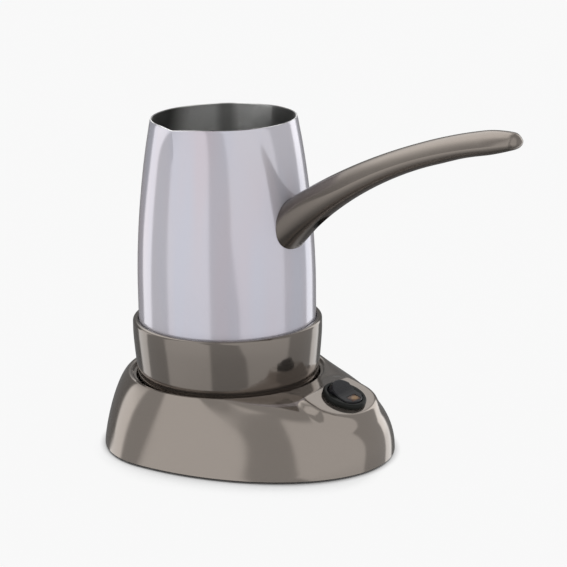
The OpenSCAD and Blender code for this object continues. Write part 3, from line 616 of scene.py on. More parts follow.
base = {
    "height": 34.5,
    "nose": 92.0,
    "tail": 58.6,
    "width": 131.6,
    "widestBack": 6.2,  # how far behind the pot's axis it is widest
    "noseBulge": 2.6,  # 1 is a straight wall, and 2 a quarter of an ellipse
    "sideBulge": 1.0,
    "tailBulge": 1.8,
    "wall": 2.2,
    "foot": 1.0,
    "footRound": 0.5,
    "wellRadius": 48.4,
    "rimWidth": 2.1,
    "ledgeWidth": 2.0,
    "ledgeDepth": 1.8,
    "ledgeRound": 0.4,
    "wellEdge": 1.0,
    "wellFloor": 20.0,
    "wellCorner": 0.8,
    "wellRise": 6.0,
    "tubGap": 0.3,
    "overlap": 0.4,  # how far posts run into the tub's floor
    "floorRings": (0.5, 6, 14, 24, 34, 42),
    "underRings": (40, 26, 12, 0.5),
    "columns": 288,
    "rows": 56,
    "innerRows": 16,
}
pad = {
    "x": 71.4,
    "z": 32.1,
    "tilt": 19.0,
    "rise": 7.0,  # slope of the bridge from the well's rim to the pad, which the tilt meets
    "ahead": 12.2,
    "back": 30.0,
    "halfWidth": 19.0,
    "reach": 1.3,  # the pad ends here, counted in its ahead, back and halfWidth
    "fade": 0.28,
    "crease": 0.02,  # softens the fold between the bridge and the pad
}
restPads = {
    "angles": (60, 180, 300),
    "place": 36,
    "profile": ((3, -0.5), (3, 0.35), (2.93, 0.52), (2.75, 0.6)),  # radius, height above the floor
}
screwBosses = {"angles": (45, 135, 225, 315), "place": 30, "hole": 1.4, "radius": 4, "low": 3, "end": 12}
socketPosts = {"y": 20.5, "hole": 1.4, "radius": 3.4, "low": 13.8, "end": 17}
leadSaddle = {"low": (-44, -14, 11.7), "high": (-36, 14), "round": 0.5}
socketOpening = {"width": 14.0, "length": 28.0, "snug": 0.15, "round": 0.4}
# Its heights are counted from the pad's face
switchHole = {"radius": 10.05, "bezel": 11.15, "seat": 0.02, "wall": -2.2, "low": -4.2, "high": 2}
gland = {
    "place": (-57.6, 0, 10.6),
    "seatHalf": 7,
    "seatDepth": 6,
    "holeHalf": 5.25,
    "holeFrom": -8,
    "holeTo": 4,
    "round": 1,
}
rimRadius = base["wellRadius"] + base["rimWidth"]
atSwitch = Matrix.Translation((pad["x"], 0, pad["z"])) @ turned(pad["tilt"], "Y")


def bulgeAt(angle):
    side, ahead = base["sideBulge"], cosine(angle)
    if ahead < 0:
        return side + (base["tailBulge"] - side) * ahead ** 2
    return side + (base["noseBulge"] - side) * ahead ** 4


def footLine(angle, inset):
    reach = base["tail"] - base["widestBack"] if cosine(angle) < 0 else base["nose"] + base["widestBack"]
    return (
        (reach - inset) * cosine(angle) - base["widestBack"],
        (base["width"] / 2 - inset) * sine(angle))


def domePoint(angle, share, inset=0.0):
    # A point of the housing's wall, from the rim at share 0 to the foot at share 1
    power = 2 / bulgeAt(angle)
    out = sine(90 * share) ** power
    up = max(0.0, cosine(90 * share)) ** power
    foot = footLine(angle, inset)
    x = (rimRadius - inset) * cosine(angle) * (1 - out) + foot[0] * out
    y = (rimRadius - inset) * sine(angle) * (1 - out) + foot[1] * out
    z = base["foot"] + (base["height"] - inset - base["foot"]) * up
    # The switch's pad: its tilted plane, joined to a gentler one that starts at the well's rim
    length = pad["back"] if x < pad["x"] else pad["ahead"]
    away = math.hypot((x - pad["x"]) / length, y / pad["halfWidth"])
    flat = pad["z"] - (x - pad["x"]) * slope(pad["tilt"])
    bridge = base["height"] + max(0.0, x - rimRadius) * slope(pad["rise"])
    flat = (flat + bridge - math.sqrt((flat - bridge) ** 2 + pad["crease"])) / 2
    flat -= inset / cosine(pad["tilt"])
    return (x, y, z + smooth((pad["reach"] - away) / pad["fade"]) * (flat - z))


def tubTop(angle):
    # Where the tub's wall meets the housing's inside
    def inside(share):
        x, y, _z = domePoint(angle, share, base["wall"])
        return math.hypot(x, y) < rimRadius - base["tubGap"]

    return halve(0.0, 1.0, inside)[1]


def wellProfile():
    # The well from its middle out to the rim, with the ledge that the collar passes
    rim, floor, edge, corner = base["wellRadius"], base["wellFloor"], base["wellEdge"], base["wellCorner"]
    well, ledge, ease = rim - base["ledgeWidth"], base["height"] - base["ledgeDepth"], base["ledgeRound"]
    return (
        [(radius, floor) for radius in base["floorRings"]]
        + arc((well - corner, floor + corner), corner, -90, 0, 5)
        + [(well, floor + base["wellRise"]), (well, ledge - ease), (well + ease, ledge),
           (rim - ease, ledge), (rim, ledge + ease)]
        + arc((rim + edge, base["height"] - edge), edge, 180, 90, 6))


def screwPost(values, top):
    # A round post with a blind hole for a screw from below
    hole, radius, low, end = (values[key] for key in ("hole", "radius", "low", "end"))
    return revolve([(hole, low), (radius, low), (radius, top), (0, top), (0, end), (hole, end)], 32)


def wellFittings():
    floor = base["wellFloor"]
    top = floor - base["wall"] + base["overlap"]
    fittings = []
    for angle in restPads["angles"]:
        middle = (restPads["place"] * cosine(angle), restPads["place"] * sine(angle))
        rings = [circle(radius, floor + height, 40, middle) for radius, height in restPads["profile"]]
        fittings.append(makeMesh("restPad", loft(rings)))
    for angle in screwBosses["angles"]:
        out = screwBosses["place"]
        shift = Matrix.Translation((out * cosine(angle), out * sine(angle), 0))
        fittings.append(makeMesh("screwBoss", screwPost(screwBosses, top), shift))
    for side in (-1, 1):
        shift = Matrix.Translation((0, side * socketPosts["y"], 0))
        fittings.append(makeMesh("socketPost", screwPost(socketPosts, top), shift))
    saddle = block(leadSaddle["low"], (*leadSaddle["high"], top), leadSaddle["round"])
    fittings.append(makeMesh("leadSaddle", saddle))
    return fittings


def housingCuts():
    snug, under = socketOpening["snug"], base["wellFloor"] - base["wall"]
    wide, long = socketOpening["width"] / 2 + snug, socketOpening["length"] / 2 + snug
    opening = block((-wide, -long, under - 1), (wide, long, base["wellFloor"] + 1), socketOpening["round"])
    radius, bezel, seat, wall, low, high = (
        switchHole[key] for key in ("radius", "bezel", "seat", "wall", "low", "high"))
    hole = revolve([
        (0, low), (bezel, low), (bezel, wall), (radius, wall),
        (radius, seat), (bezel, seat), (bezel, high), (0, high)], 96)
    atTail = Matrix.Translation(gland["place"]) @ turned(-90, "Y")
    wide, narrow, corner = gland["seatHalf"], gland["holeHalf"], gland["round"]
    glandSeat = block((-wide, -wide, 0), (wide, wide, gland["seatDepth"]), corner)
    glandHole = block((-narrow, -narrow, gland["holeFrom"]), (narrow, narrow, gland["holeTo"]), corner)
    return [
        makeMesh("opening", opening), makeMesh("switchHole", hole, atSwitch),
        makeMesh("glandSeat", glandSeat, atTail), makeMesh("glandHole", glandHole, atTail)]


def makeHousing():
    columns, rows, inner = base["columns"], base["rows"], base["innerRows"]
    angles = [360 * k / columns for k in range(columns)]
    rings = [circle(radius, height, columns) for radius, height in wellProfile()]
    rings += [[domePoint(a, j / rows) for a in angles] for j in range(rows + 1)]
    tops = [tubTop(a) for a in angles]
    rings.append([domePoint(a, 1, base["footRound"])[:2] + (base["foot"],) for a in angles])
    rings += [
        [domePoint(a, 1 - (1 - top) * j / inner, base["wall"]) for a, top in zip(angles, tops)]
        for j in range(inner + 1)]
    under = base["wellFloor"] - base["wall"]
    rings += [
        circle(radius, under, columns) for radius in (rimRadius - base["tubGap"], *base["underRings"])]
    piece = makeMesh("baseHousing", loft(rings))
    shapeWith(piece, "UNION", *wellFittings())
    shapeWith(piece, "DIFFERENCE", *housingCuts())
    dress(piece, "base_housing", "base", "pewter_plastic")


makeHousing()
print("base housing made")

collar = {
    "radius": 47.6,
    "foot": 44.2,
    "low": 20.6,
    "lowEdge": 0.5,
    "top": 62.2,
    "belly": 6.2,  # how far below the top it starts to narrow
    "taper": 1.3,
    "wall": 1.8,
    "lipRound": 1.6,
    "lipThickness": 1.2,
    "lipInside": 45.05,
    "lipEdge": 0.3,
    "shelfZ": 22.8,
    "shelfThickness": 1.5,
    "shelfRadius": 39.4,
    "columns": 256,
    "rows": 24,
}


def collarRadius(height):
    wide = collar["top"] - collar["belly"]
    if height > wide:
        return collar["radius"]
    share = (wide - height) / (wide - collar["low"])
    return collar["radius"] - (collar["radius"] - collar["foot"]) * share ** collar["taper"]


def makeCollar():
    low, top, wall = collar["low"], collar["top"], collar["wall"]
    first, rows = low + collar["lowEdge"], collar["rows"]
    levels = [first + i * (top - collar["belly"] - first) / rows for i in range(rows + 1)]
    lip, edge, hole = collar["lipRound"], collar["lipEdge"], collar["lipInside"]
    under = top - collar["lipThickness"]
    shelfLow, shelfHigh = collar["shelfZ"], collar["shelfZ"] + collar["shelfThickness"]
    inside = [level for level in reversed(levels) if level > shelfHigh]
    outline = (
        [(collarRadius(low) - collar["lowEdge"], low)]
        + [(collarRadius(level), level) for level in levels]
        + arc((collar["radius"] - lip, top - lip), lip, 0, 90, 10)
        + arc((hole + edge, top - edge), edge, 90, 180, 3)
        + [(hole, under), (collar["radius"] - wall, under)]
        + [(collarRadius(level) - wall, level) for level in inside]
        + [(collarRadius(shelfHigh) - wall, shelfHigh), (collar["shelfRadius"], shelfHigh),
           (collar["shelfRadius"], shelfLow), (collarRadius(shelfLow) - wall, shelfLow),
           (collarRadius(low) - wall, low)])
    piece = makeMesh("collarShell", revolve(outline, collar["columns"]))
    piece.data.materials.append(collarPewterPaintedShade)
    dress(piece, "collar", "pot", "pewter_plastic")


makeCollar()
print("collar made")

pot = {
    "bottom": 56.2,
    "rim": 163.5,
    "narrowFrom": 78.2,
    "straight": 19.0,  # height of the straight part under that
    "radius": 44.6,
    "rimRadius": 36.3,
    "curve": 1.87,
    "wall": 0.8,
    "edge": 3.0,
    "oval": 1.0,  # how much further the rim reaches toward the lips
    "lipOut": 2.7,
    "lipDip": 0.55,
    "lipFade": 20.0,
    "lipFadePower": 1.8,
    "lipAngle": 20.0,
    "lipPower": 1.5,
    "floorRings": (0.6, 12, 26),
    "floorEdge": 2.0,
    "columns": 360,
    "crowding": 18.0,  # how far columns are drawn toward the lips
    "straightRows": 5,
    "wallRows": 24,
    "lipRows": 22,
}


def potRadius(height):
    if height < pot["narrowFrom"]:
        return pot["radius"]
    share = (height - pot["narrowFrom"]) / (pot["rim"] - pot["narrowFrom"])
    return pot["radius"] - (pot["radius"] - pot["rimRadius"]) * share ** pot["curve"]


def potPoint(angle, height, inset, lift=0.0):
    fade = clamp((height - pot["rim"] + pot["lipFade"]) / pot["lipFade"]) ** pot["lipFadePower"]
    lip = max(0.0, 1 - abs(abs(angle) - 90) / pot["lipAngle"]) ** pot["lipPower"] * fade
    radius = potRadius(height) - inset - pot["oval"] * cosine(2 * angle) * fade + pot["lipOut"] * lip
    return (radius * cosine(angle), radius * sine(angle), height - pot["lipDip"] * lip + lift)


def makePot():
    columns, wall, edge, rim = pot["columns"], pot["wall"], pot["edge"], pot["rim"]
    first, fade = pot["narrowFrom"], pot["lipFade"]
    straightRows, wallRows, lipRows = pot["straightRows"], pot["wallRows"], pot["lipRows"]
    even = [-180 + 360 * k / columns for k in range(columns)]
    angles = [t + pot["crowding"] * sine(2 * t) for t in even]
    levels = (
        [first - pot["straight"] + pot["straight"] / straightRows * i for i in range(straightRows)]
        + [first + (rim - fade - first) * i / wallRows for i in range(wallRows + 1)]
        + [rim - fade * (1 - i / lipRows) for i in range(1, lipRows)])

    def flatRing(radius, height):
        return [(radius * cosine(a), radius * sine(a), height) for a in angles]

    def edgeRing(turn, inset):
        radius = pot["radius"] - edge + (edge - inset) * cosine(turn)
        return flatRing(radius, pot["bottom"] + edge - (edge - inset) * sine(turn))

    flats = [*pot["floorRings"], pot["radius"] - edge - pot["floorEdge"]]
    half = wall / 2
    outer = [flatRing(radius, pot["bottom"]) for radius in flats]
    outer += [edgeRing(turn, 0) for turn in range(90, -1, -9)]
    outer += [[potPoint(a, level, 0) for a in angles] for level in levels]
    lip = [
        [potPoint(a, rim, half - half * cosine(turn), half * sine(turn) - half) for a in angles]
        for turn in range(0, 181, 30)]
    inner = [[potPoint(a, level, wall) for a in angles] for level in reversed(levels)]
    inner += [edgeRing(turn, wall) for turn in range(0, 91, 9)]
    inner += [flatRing(radius, pot["bottom"] + wall) for radius in reversed(flats)]
    piece = makeMesh("potShell", loft(outer + lip + inner))
    mesh = piece.data
    mesh.materials.append(finishes["pot_lacquer"])
    mesh.materials.append(potSteel)
    painted = (len(outer) + 1) * columns
    bottomFace = len(mesh.polygons) - 2
    for i, face in enumerate(mesh.polygons):
        face.material_index = 0 if i < painted or i == bottomFace else 1
    dress(piece, "pot_body", "pot", "pot_lacquer", 50)


makePot()
print("pot made")

handle = {
    "reach": 166.5,
    "rise": 55.5,
    "rootX": 40.0,
    "rootZ": 114.7,
    "rootHalfHeight": 10.4,
    "rootHalfWidth": 13.2,
    "rootRun": 0.06,  # share by which the sweep starts inside the pot, for the wall to cut
    "lowBend": (0.185, 0.373),  # shares of the reach and of the rise
    "highBend": (0.54, 0.862),
    "gripHalfHeight": 5.8,
    "gripHalfWidth": 8.4,
    "heightFlare": 0.7,
    "widthFlare": 0.5,
    "flarePower": 1.6,
    "creaseLift": -0.13,  # the side seam's height, as a share of half the handle's
    "creaseFrom": 0.12,
    "creaseFull": 0.42,
    "crown": 2.1,
    "rootSquare": 0.9,  # under 1 these outlines are squarer than an ellipse
    "sideSquare": 0.85,
    "belowSquare": 0.95,
    "tipSlim": 0.10,
    "slimFrom": 0.74,
    "slimRun": 0.1,
    "tipRound": 3.6,
    "tipFullness": 2.8,  # 2 is a round end, and more is blunter
    "tipTaper": 0.40,
    "taperRun": 0.1,
    "taperPower": 1.7,
    "seatHalf": 21.0,
    "columns": 96,
    "rows": 150,
    "crowding": 1.3,
}
tipShare = handle["tipRound"] / handle["reach"]
screw = {
    "z": handle["rootZ"] + 4.5,
    "radius": 2.0,
    "bossRadius": 4.4,
    "bossLength": 5.0,
    "bossFrom": 38.0,
    "seat": 0.4,
    "cover": 2.0,
    "snug": 0.15,
    "room": 30.0,
}
bracket = {
    "low": handle["rootZ"] - 5,
    "high": handle["rootZ"] + 11,
    "thickness": 1.2,
    "angle": 7.0,
    "angleRoom": 0.2,
    "gap": 0.06,
}


def handlePath(share):
    # The middle line and its direction, in the x z plane
    x, z = handle["rootX"], handle["rootZ"]
    along, up = handle["reach"] - x, handle["rise"]
    bends = ((0, 0), handle["lowBend"], handle["highBend"], (1, 1))
    marks = [Vector((x + across * along, z + high * up)) for across, high in bends]
    left = 1 - share
    middle = (left ** 3 * marks[0] + 3 * left * left * share * marks[1]
              + 3 * left * share * share * marks[2] + share ** 3 * marks[3])
    ahead = (left * left * (marks[1] - marks[0]) + 2 * left * share * (marks[2] - marks[1])
             + share * share * (marks[3] - marks[2])).normalized()
    return middle, ahead


def rounded(value, power):
    return math.copysign(abs(value) ** power, value)


def flared(share, grip, root, run):
    # Wide at the root, then even
    return grip + (root - grip) * max(0.0, 1 - share / run) ** handle["flarePower"]


def handleRing(share):
    middle, ahead = handlePath(share)
    power = handle["tipFullness"]
    tip = (1 - clamp(1 - (1 - share) / tipShare) ** power) ** (1 / power)
    taper = clamp((share - 1 + handle["taperRun"]) / handle["taperRun"]) ** handle["taperPower"]
    tip *= 1 - handle["tipTaper"] * taper
    high = flared(share, handle["gripHalfHeight"], handle["rootHalfHeight"], handle["heightFlare"]) * tip
    wide = flared(share, handle["gripHalfWidth"], handle["rootHalfWidth"], handle["widthFlare"]) * tip
    crease = smooth((share - handle["creaseFrom"]) / (handle["creaseFull"] - handle["creaseFrom"]))
    slim = 1 - handle["tipSlim"] * smooth((share - handle["slimFrom"]) / handle["slimRun"])
    square = handle["rootSquare"]
    seam = handle["creaseLift"] * high
    ring = []
    for k in range(handle["columns"]):
        angle = 360 * k / handle["columns"]
        across, rise = cosine(angle), sine(angle)
        plain = (wide * rounded(across, square), high * rounded(rise, square))
        if rise >= 0:
            folded = (wide * across, seam + (high - seam) * (1 - abs(across) ** handle["crown"]))
        else:
            folded = (
                wide * rounded(across, handle["sideSquare"]),
                seam - (high + seam) * slim * abs(rise) ** handle["belowSquare"])
        side = plain[0] + crease * (folded[0] - plain[0])
        up = plain[1] + crease * (folded[1] - plain[1])
        ring.append((middle.x - up * ahead.y, side, middle.y + up * ahead.x))
    return ring


def handleCuts():
    # Room for the pot's wall, the screw with its boss, and the bracket
    snug = screw["snug"]
    low, high = handle["rootZ"] - handle["seatHalf"], handle["rootZ"] + handle["seatHalf"]
    heights = [low + (high - low) * i / 24 for i in range(25)]
    seat = revolve([(0, low)] + [(potRadius(z) + snug, z) for z in heights] + [(0, high)], 256)

    face = potRadius(bracket["low"]) + screw["seat"]
    head = face + screw["bossLength"] + screw["cover"]
    boss, shank, cap = screw["bossRadius"] + snug, screw["radius"] + snug, 2 * screw["radius"] + snug
    room = revolve([
        (0, screw["bossFrom"]), (boss, screw["bossFrom"]),
        (boss, face + screw["bossLength"] + snug), (shank, face + screw["bossLength"] + snug),
        (shank, head), (cap, head), (cap, head + screw["room"]), (0, head + screw["room"])], 64)

    near, far = bracket["gap"] - snug, bracket["gap"] + bracket["thickness"] + snug
    bottom, top = bracket["low"] - snug, bracket["high"] + snug
    lower, upper = potRadius(bracket["low"]), potRadius(bracket["high"])
    outline = [(lower + near, bottom), (lower + far, bottom), (upper + far, top), (upper + near, top)]
    spread = [(bracket["angle"] + bracket["angleRoom"]) * (i / 6 - 1) for i in range(13)]
    slab = [[(radius * cosine(a), radius * sine(a), z) for radius, z in outline] for a in spread]
    return [
        makeMesh("seat", seat),
        makeMesh("screwRoom", room, Matrix.Translation((0, 0, screw["z"])) @ turned(90, "Y")),
        makeMesh("bracketRoom", loft(slab))]


def makeHandle():
    rows = handle["rows"]
    start, end = -handle["rootRun"], 1 - tipShare
    rings = [
        handleRing(end - (end - start) * (1 - j / rows) ** handle["crowding"]) for j in range(rows + 1)]
    rings += [handleRing(1 - tipShare * (1 - sine(turn))) for turn in range(7, 85, 7)]
    piece = makeMesh("handleGrip", loft(rings))
    shapeWith(piece, "DIFFERENCE", *handleCuts())
    piece.data.materials.append(handlePewterPaintedShade)
    dress(piece, "handle", "pot", "pewter_plastic", 28)


makeHandle()
print("handle made")

switch = {
    "bezelRadius": 11.0,
    "bezelHeight": 2.5,
    "bezelRound": 1.2,
    "bezelEdge": 0.2,
    "barrelRadius": 9.9,
    "barrelLength": 14.0,
    "barrelEdge": 0.6,
    "bevel": 0.22,
    "cavityRadius": 9.15,
    "cavityHalfWidth": 7.25,
    "cavityFloor": -6.6,
    "cavityTop": 8.0,
    "stemRoom": 4.8,
    "backWall": 3.0,
    "pivotZ": 0.5,
    "boreRadius": 1.35,
    "boreHalfLength": 8.65,
}
slits = {"pitch": 5.0, "half": 0.4, "halfLength": 3.0, "depth": 4.0}  # for the terminals, in the back
rocker = {
    "radius": 8.9,
    "width": 14.0,
    "tilt": 12.0,
    "crown": 2.6,
    "valley": 0.4,  # softens the fold between the face's two slopes
    "floor": -5.5,
    "edge": 0.5,
    "stem": 3.0,
    "stemHalf": (2.2, 4.0),
    "stemRound": 0.6,
    "pinProfile": ((0, -8.2), (1.1, -8.2), (1.3, -8.0), (1.3, 8.0), (1.1, 8.2), (0, 8.2)),
    "sideRows": 8,
    "brinkRows": (1.6, 0.7),  # depths below the rounded brink
    "faceShares": (0.97, 0.9, 0.8, 0.65, 0.5, 0.35, 0.2, 0.08, 0.01),
    "columns": 144,
}
lampWindow = {
    "x": 2.4,
    "length": 4.4,
    "width": 7.0,
    "thickness": 1.2,
    "gap": 0.08,
    "corner": 0.5,
    "edge": ((-0.32, 0.0), (-0.2, 0.06), (-0.14, 0.2)),  # height below the face, and extra inset
    "lampHalf": (1.5, 3.0),
    "lampDepth": 3.2,
}


def makeSwitchFrame():
    radius, height, turn = switch["bezelRadius"], switch["bezelHeight"], switch["bezelRound"]
    barrel, back, sides = switch["barrelRadius"], -switch["barrelLength"], switch["cavityHalfWidth"]
    chamfer, edge = switch["barrelEdge"], switch["bezelEdge"]
    outline = (
        [(0, back), (barrel - chamfer, back), (barrel, back + chamfer), (barrel, 0),
         (radius - edge, 0), (radius, edge)]
        + arc((radius - turn, height - turn), turn, 0, 90, 8)
        + [(0, height)])
    piece = makeMesh("switchFrame", revolve(outline, 128), atSwitch)

    reach = switch["cavityRadius"]
    limit = math.degrees(math.asin(sides / reach))
    walls = arc((0, 0), reach, -limit, limit, 20) + arc((0, 0), reach, 180 - limit, 180 + limit, 20)
    cavity = loft([[(x, y, z) for x, y in walls] for z in (switch["cavityFloor"], switch["cavityTop"])])
    stem = block((-switch["stemRoom"], -sides, switch["backWall"] + back), (switch["stemRoom"], sides, 0))
    bore, half = switch["boreRadius"], switch["boreHalfLength"]
    bores = revolve([(0, -half), (bore, -half), (bore, half), (0, half)], 32)
    atBores = atSwitch @ Matrix.Translation((0, 0, switch["pivotZ"])) @ turned(90, "X")
    cuts = [
        makeMesh("cavity", cavity, atSwitch), makeMesh("stemRoom", stem, atSwitch),
        makeMesh("pivotBores", bores, atBores)]
    for k in (-1, 0, 1):
        middle, long = k * slits["pitch"], slits["halfLength"]
        cuts.append(makeMesh("slit", block(
            (middle - slits["half"], -long, back - 1),
            (middle + slits["half"], long, back + slits["depth"])), atSwitch))
    shapeWith(piece, "DIFFERENCE", *cuts)
    bevel(piece, switch["bevel"], 40)
    dress(piece, "switch_frame", "base", "black_plastic", 40)


def faceHeight(x):
    # The rocker's outer face: two slopes that rise from the middle to the ends
    return rocker["crown"] + slope(rocker["tilt"]) * (math.hypot(x, rocker["valley"]) - rocker["valley"])


def rockerRing(height, inset=0.0, drop=0.0):
    # The rocker's outline: a ball clipped by two flat sides, at a level or just below the outer face
    half, radius, columns = rocker["width"] / 2 - inset, rocker["radius"] - inset, rocker["columns"]

    def pointAt(angle, reach):
        x, y = reach * cosine(angle), reach * sine(angle)
        return (x, y, faceHeight(x) - drop if height is None else height)

    def inside(angle, reach):
        x, y, z = pointAt(angle, reach)
        return x * x + y * y + z * z < radius ** 2 and abs(y) < half

    angles = [360 * k / columns for k in range(columns)]
    return [pointAt(a, halve(0.0, radius, lambda reach: inside(a, reach))[0]) for a in angles]


def makeRocker():
    # Built about the pivot, then tilted so that its outer end is pressed
    atPivot = atSwitch @ Matrix.Translation((0, 0, switch["pivotZ"])) @ turned(rocker["tilt"], "Y")
    atFace = atPivot @ Matrix.Translation((0, 0, rocker["crown"])) @ turned(-rocker["tilt"], "Y")
    edge, floor, rows = rocker["edge"], rocker["floor"], rocker["sideRows"]
    rings = [rockerRing(floor * (1 - i / rows)) for i in range(rows)]
    rings += [rockerRing(None, 0, edge + depth) for depth in rocker["brinkRows"]]
    rings += [
        rockerRing(None, edge * (1 - cosine(turn)), edge * (1 - sine(turn))) for turn in range(0, 91, 15)]
    brink = rings[-1]
    for share in rocker["faceShares"]:
        rings.append([(x * share, y * share, faceHeight(x * share)) for x, y, _z in brink])
    piece = makeMesh("rockerBody", loft(rings), atPivot)

    long, wide = rocker["stemHalf"]
    stem = block((-long, -wide, floor - rocker["stem"]), (long, wide, floor + 1), rocker["stemRound"])
    stem = makeMesh("stem", stem, atPivot)
    pins = makeMesh("pins", revolve(rocker["pinProfile"], 32), atPivot @ turned(90, "X"))
    shapeWith(piece, "UNION", stem, pins)

    low, high, wide = lampWindow["x"], lampWindow["x"] + lampWindow["length"], lampWindow["width"] / 2
    depth, corner, gap = lampWindow["thickness"], lampWindow["corner"], lampWindow["gap"]
    middle = (low + high) / 2
    lampLong, lampWide = lampWindow["lampHalf"]
    opening = block((low, -wide, -depth), (high, wide, 2), corner)
    lampRoom = block(
        (middle - lampLong, -lampWide, -depth - lampWindow["lampDepth"]), (middle + lampLong, lampWide, 0))
    shapeWith(
        piece, "DIFFERENCE", makeMesh("window", opening, atFace), makeMesh("lampRoom", lampRoom, atFace))
    dress(piece, "rocker", "rocker", "rocker_black", 30)

    rings = []
    for z, extra in ((-depth, 0.0), *lampWindow["edge"]):
        inset = gap + extra
        outline = rectangle((low + inset, -wide + inset), (high - inset, wide - inset), corner)
        rings.append([(x, y, z) for x, y in outline])
    piece = makeMesh("lampWindow", loft(rings), atFace)
    dress(piece, "rocker_lens", "rocker", "lamp_amber", 40)


makeSwitchFrame()
makeRocker()
print("switch made")

studio = {
    "turn": -51.5,  # the azimuth that the panels' places are counted from
    "soft": 5.0,
    "dome": 0.96,
    "gap": 0.48,  # brightness between the panels, whose own follow
    "leftPanel": 1.0,
    "rightPanel": 0.90,
    "leftStrip": 1.38,
    "rightStrip": 1.75,
    "behind": 0.18,
    "rear": 0.95,
    "rearLeft": 1.75,
    "underneath": 0.30,
    "underneathFrom": -6.0,
    "underneathFull": -68.0,
}

# Where the panels stand, in degrees of turn and of rise. A step moves an edge sideways at one rise, a
# lean does so by the degree, and a bend curves it. A foot is the rise where a panel's lower part starts
# to differ, past is counted on from another panel's edge, and a fade is the width of a soft edge.
panels = {
    "leftPanel": {
        "from": -82, "step": 4, "stepRise": 4, "stepFade": 16, "lean": 0.25, "leanRise": 30,
        "to": -22, "bend": 18, "bendRise": 42, "bendPower": 1.3, "top": 74, "topFade": 16},
    "rightPanel": {
        "from": 6, "lean": -0.36, "foot": -5, "footLean": 0.8,
        "to": 79, "bend": 19, "bendRise": 52, "bendPower": 1.5, "top": 72, "topFade": 12},
    "leftStrip": {
        "from": -126.5, "foot": -2, "footRun": 9, "footLean": 1.15,
        "to": -109, "lean": 0.35, "top": 17, "topFade": 12},
    "rightStrip": {
        "from": 124, "to": 144, "top": 40, "topFade": 34, "foot": -5, "footFade": 8, "footGlow": 0.76},
    "behind": {"from": 147, "fromFade": 6, "past": 1.5, "pastFade": 5, "top": 26, "topFade": 18},
    "rear": {"from": 152, "fromFade": 8, "foot": 24, "footFade": 18, "top": 72, "topFade": 24},
    "rearLeft": {"to": -114, "lean": 0.8, "leanRise": 36, "toFade": 40},
}


def panelMasks(turn, rise):
    # 1 inside each panel and 0 outside it, where p is the panel's own values
    up, soft = rise.atLeast(0), studio["soft"]
    masks = {}
    p = panels["leftPanel"]
    shift = (rise - p["stepRise"]).edge(p["stepFade"]) * p["step"]
    masks["leftPanel"] = (
        (turn - p["from"] - shift - (rise - p["leanRise"]).atLeast(0) * p["lean"]).edge(soft)
        * (p["to"] - (up / p["bendRise"]).atMost(1) ** p["bendPower"] * p["bend"] - turn).edge(soft)
        * (p["top"] - rise).edge(p["topFade"]))
    p = panels["rightPanel"]
    masks["rightPanel"] = (
        (turn - p["from"] - up * p["lean"] - (p["foot"] - rise).atLeast(0) * p["footLean"]).edge(soft)
        * (p["to"] - (up / p["bendRise"]) ** p["bendPower"] * p["bend"] - turn).edge(soft)
        * (p["top"] - rise).edge(p["topFade"]))
    p = panels["leftStrip"]
    foot = (rise - p["foot"]).atMost(0).atLeast(-p["footRun"])
    past = turn - p["from"] - foot * p["footLean"]
    masks["leftStrip"] = (
        past.edge(soft) * (p["to"] + rise * p["lean"] - turn).edge(soft)
        * (p["top"] - rise).edge(p["topFade"]))
    p = panels["rightStrip"]
    foot = (rise - p["foot"]).edge(p["footFade"]) * (1 - p["footGlow"])
    masks["rightStrip"] = (
        (turn - p["from"]).edge(soft) * (p["to"] - turn).edge(soft)
        * (p["top"] - rise).edge(p["topFade"]) * (p["footGlow"] + foot))
    p = panels["behind"]
    sides = (turn - p["from"]).edge(p["fromFade"]) + (-past - p["past"]).edge(p["pastFade"])
    masks["behind"] = sides * (p["top"] - rise).edge(p["topFade"])
    p = panels["rear"]
    high = (rise - p["foot"]).edge(p["footFade"]) * (p["top"] - rise).edge(p["topFade"])
    masks["rear"] = (turn - p["from"]).edge(p["fromFade"]) * high
    p = panels["rearLeft"]
    masks["rearLeft"] = (p["to"] - turn + (rise - p["leanRise"]) * p["lean"]).edge(p["toFade"]) * high
    return masks


def lightStudio():
    world = bpy.data.worlds.new("studio")
    world.use_nodes = True
    world.cycles.sampling_method = "NONE"
    scene.world = world
    nodes = Nodes(world.node_tree)
    x, y, z = nodes.split(nodes.add("ShaderNodeTexCoord", output="Generated"))
    c, s = cosine(studio["turn"]), sine(studio["turn"])
    ahead, side = x * c + y * s, y * c - x * s
    turn = side.maths("ARCTAN2", side, ahead) * (180 / math.pi)
    rise = z.atLeast(-1).atMost(1).maths("ARCSINE") * (180 / math.pi)
    gap = glow = studio["gap"]
    for key, mask in panelMasks(turn, rise).items():
        glow = glow + mask * (studio[key] - gap)
    below = nodes.add("ShaderNodeMapRange", {"interpolation_type": "SMOOTHSTEP"}, {
        "Value": rise, "From Min": studio["underneathFull"], "From Max": studio["underneathFrom"],
        "To Min": studio["underneath"], "To Max": 1.0})
    # The camera sees plain white, glossy rays the panels, and every other ray a plain dome
    camera, glossy = nodes.rays()
    plain = studio["dome"] * (1 - camera) * (1 - glossy)
    light = world.node_tree.nodes["Background"]
    nodes.put(light.inputs["Color"], (1, 1, 1, 1))
    nodes.put(light.inputs["Strength"], camera + glow * below * glossy * (1 - camera) + plain)


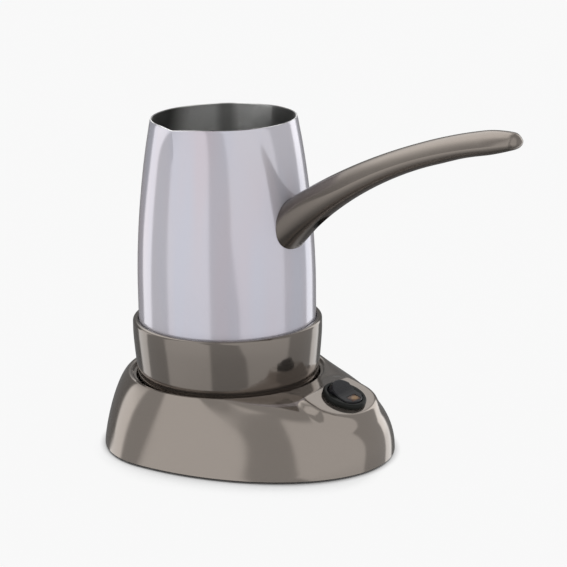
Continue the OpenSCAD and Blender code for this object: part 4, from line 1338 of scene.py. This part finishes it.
floorValues = {
    "half": 8.0,  # metres
    "drop": 0.1,  # so that the floor and the feet share no plane
    "lift": 0.92,
    "shade": 0.90,
    "shadowShade": 0.30,
    "shadowTurn": 112.0,  # the side that the soft shadow falls away from
    "shadowLean": 60.0,
    "shadowReach": 30.0,
    "shadowDepth": (0.32, 0.66),
    "shadowPower": 0.8,
    "shadowSamples": 16,
    "contactReach": 3.5,
    "contactSamples": 12,
}


def paintFloor(material):
    # White to the camera but for a soft shadow, grey to other rays, and clear to glossy ones
    tree = material.node_tree
    nodes = Nodes(tree)
    tree.nodes.remove(tree.nodes["Principled BSDF"])
    camera, glossy = nodes.rays()
    matt, dusk = (
        nodes.add("ShaderNodeBsdfDiffuse", {}, {"Color": (shade, shade, shade, 1)})
        for shade in (floorValues["shade"], floorValues["shadowShade"]))
    matt = nodes.add("ShaderNodeMixShader", {}, (camera, matt, dusk))
    white = nodes.add("ShaderNodeEmission", {}, {"Color": (1, 1, 1, 1), "Strength": 1.0})
    lean, away = floorValues["shadowLean"], floorValues["shadowTurn"]
    leaning = nodes.add("ShaderNodeCombineXYZ", {}, (
        sine(lean) * cosine(away), sine(lean) * sine(away), cosine(lean)))
    openness = nodes.add("ShaderNodeAmbientOcclusion", {"samples": floorValues["shadowSamples"]}, {
        "Distance": floorValues["shadowReach"] * mm, "Normal": leaning}, "AO")
    contact = nodes.add("ShaderNodeAmbientOcclusion", {"samples": floorValues["contactSamples"]}, {
        "Distance": floorValues["contactReach"] * mm}, "AO")
    shadow = nodes.spread(openness, 0, 1, *floorValues["shadowDepth"]) ** floorValues["shadowPower"]
    lift = shadow * contact * camera * floorValues["lift"]
    shown = nodes.add("ShaderNodeMixShader", {}, (lift, matt, white))
    clear = nodes.add("ShaderNodeBsdfTransparent")
    nodes.put(tree.nodes["Material Output"].inputs["Surface"],
              nodes.add("ShaderNodeMixShader", {}, (glossy, shown, clear)))


def makeFloor():
    half, height = floorValues["half"], -floorValues["drop"] * mm
    corners = [(-half, -half), (half, -half), (half, half), (-half, half)]
    mesh = bpy.data.meshes.new("floor")
    mesh.from_pydata([(x, y, height) for x, y in corners], [], [(0, 1, 2, 3)])
    floor = bpy.data.objects.new("floor", mesh)
    scene.collection.objects.link(floor)
    material = bpy.data.materials.new("paleFloor")
    material.use_nodes = True
    paintFloor(material)
    mesh.materials.append(material)


lightStudio()
makeFloor()
print("floor and studio made")
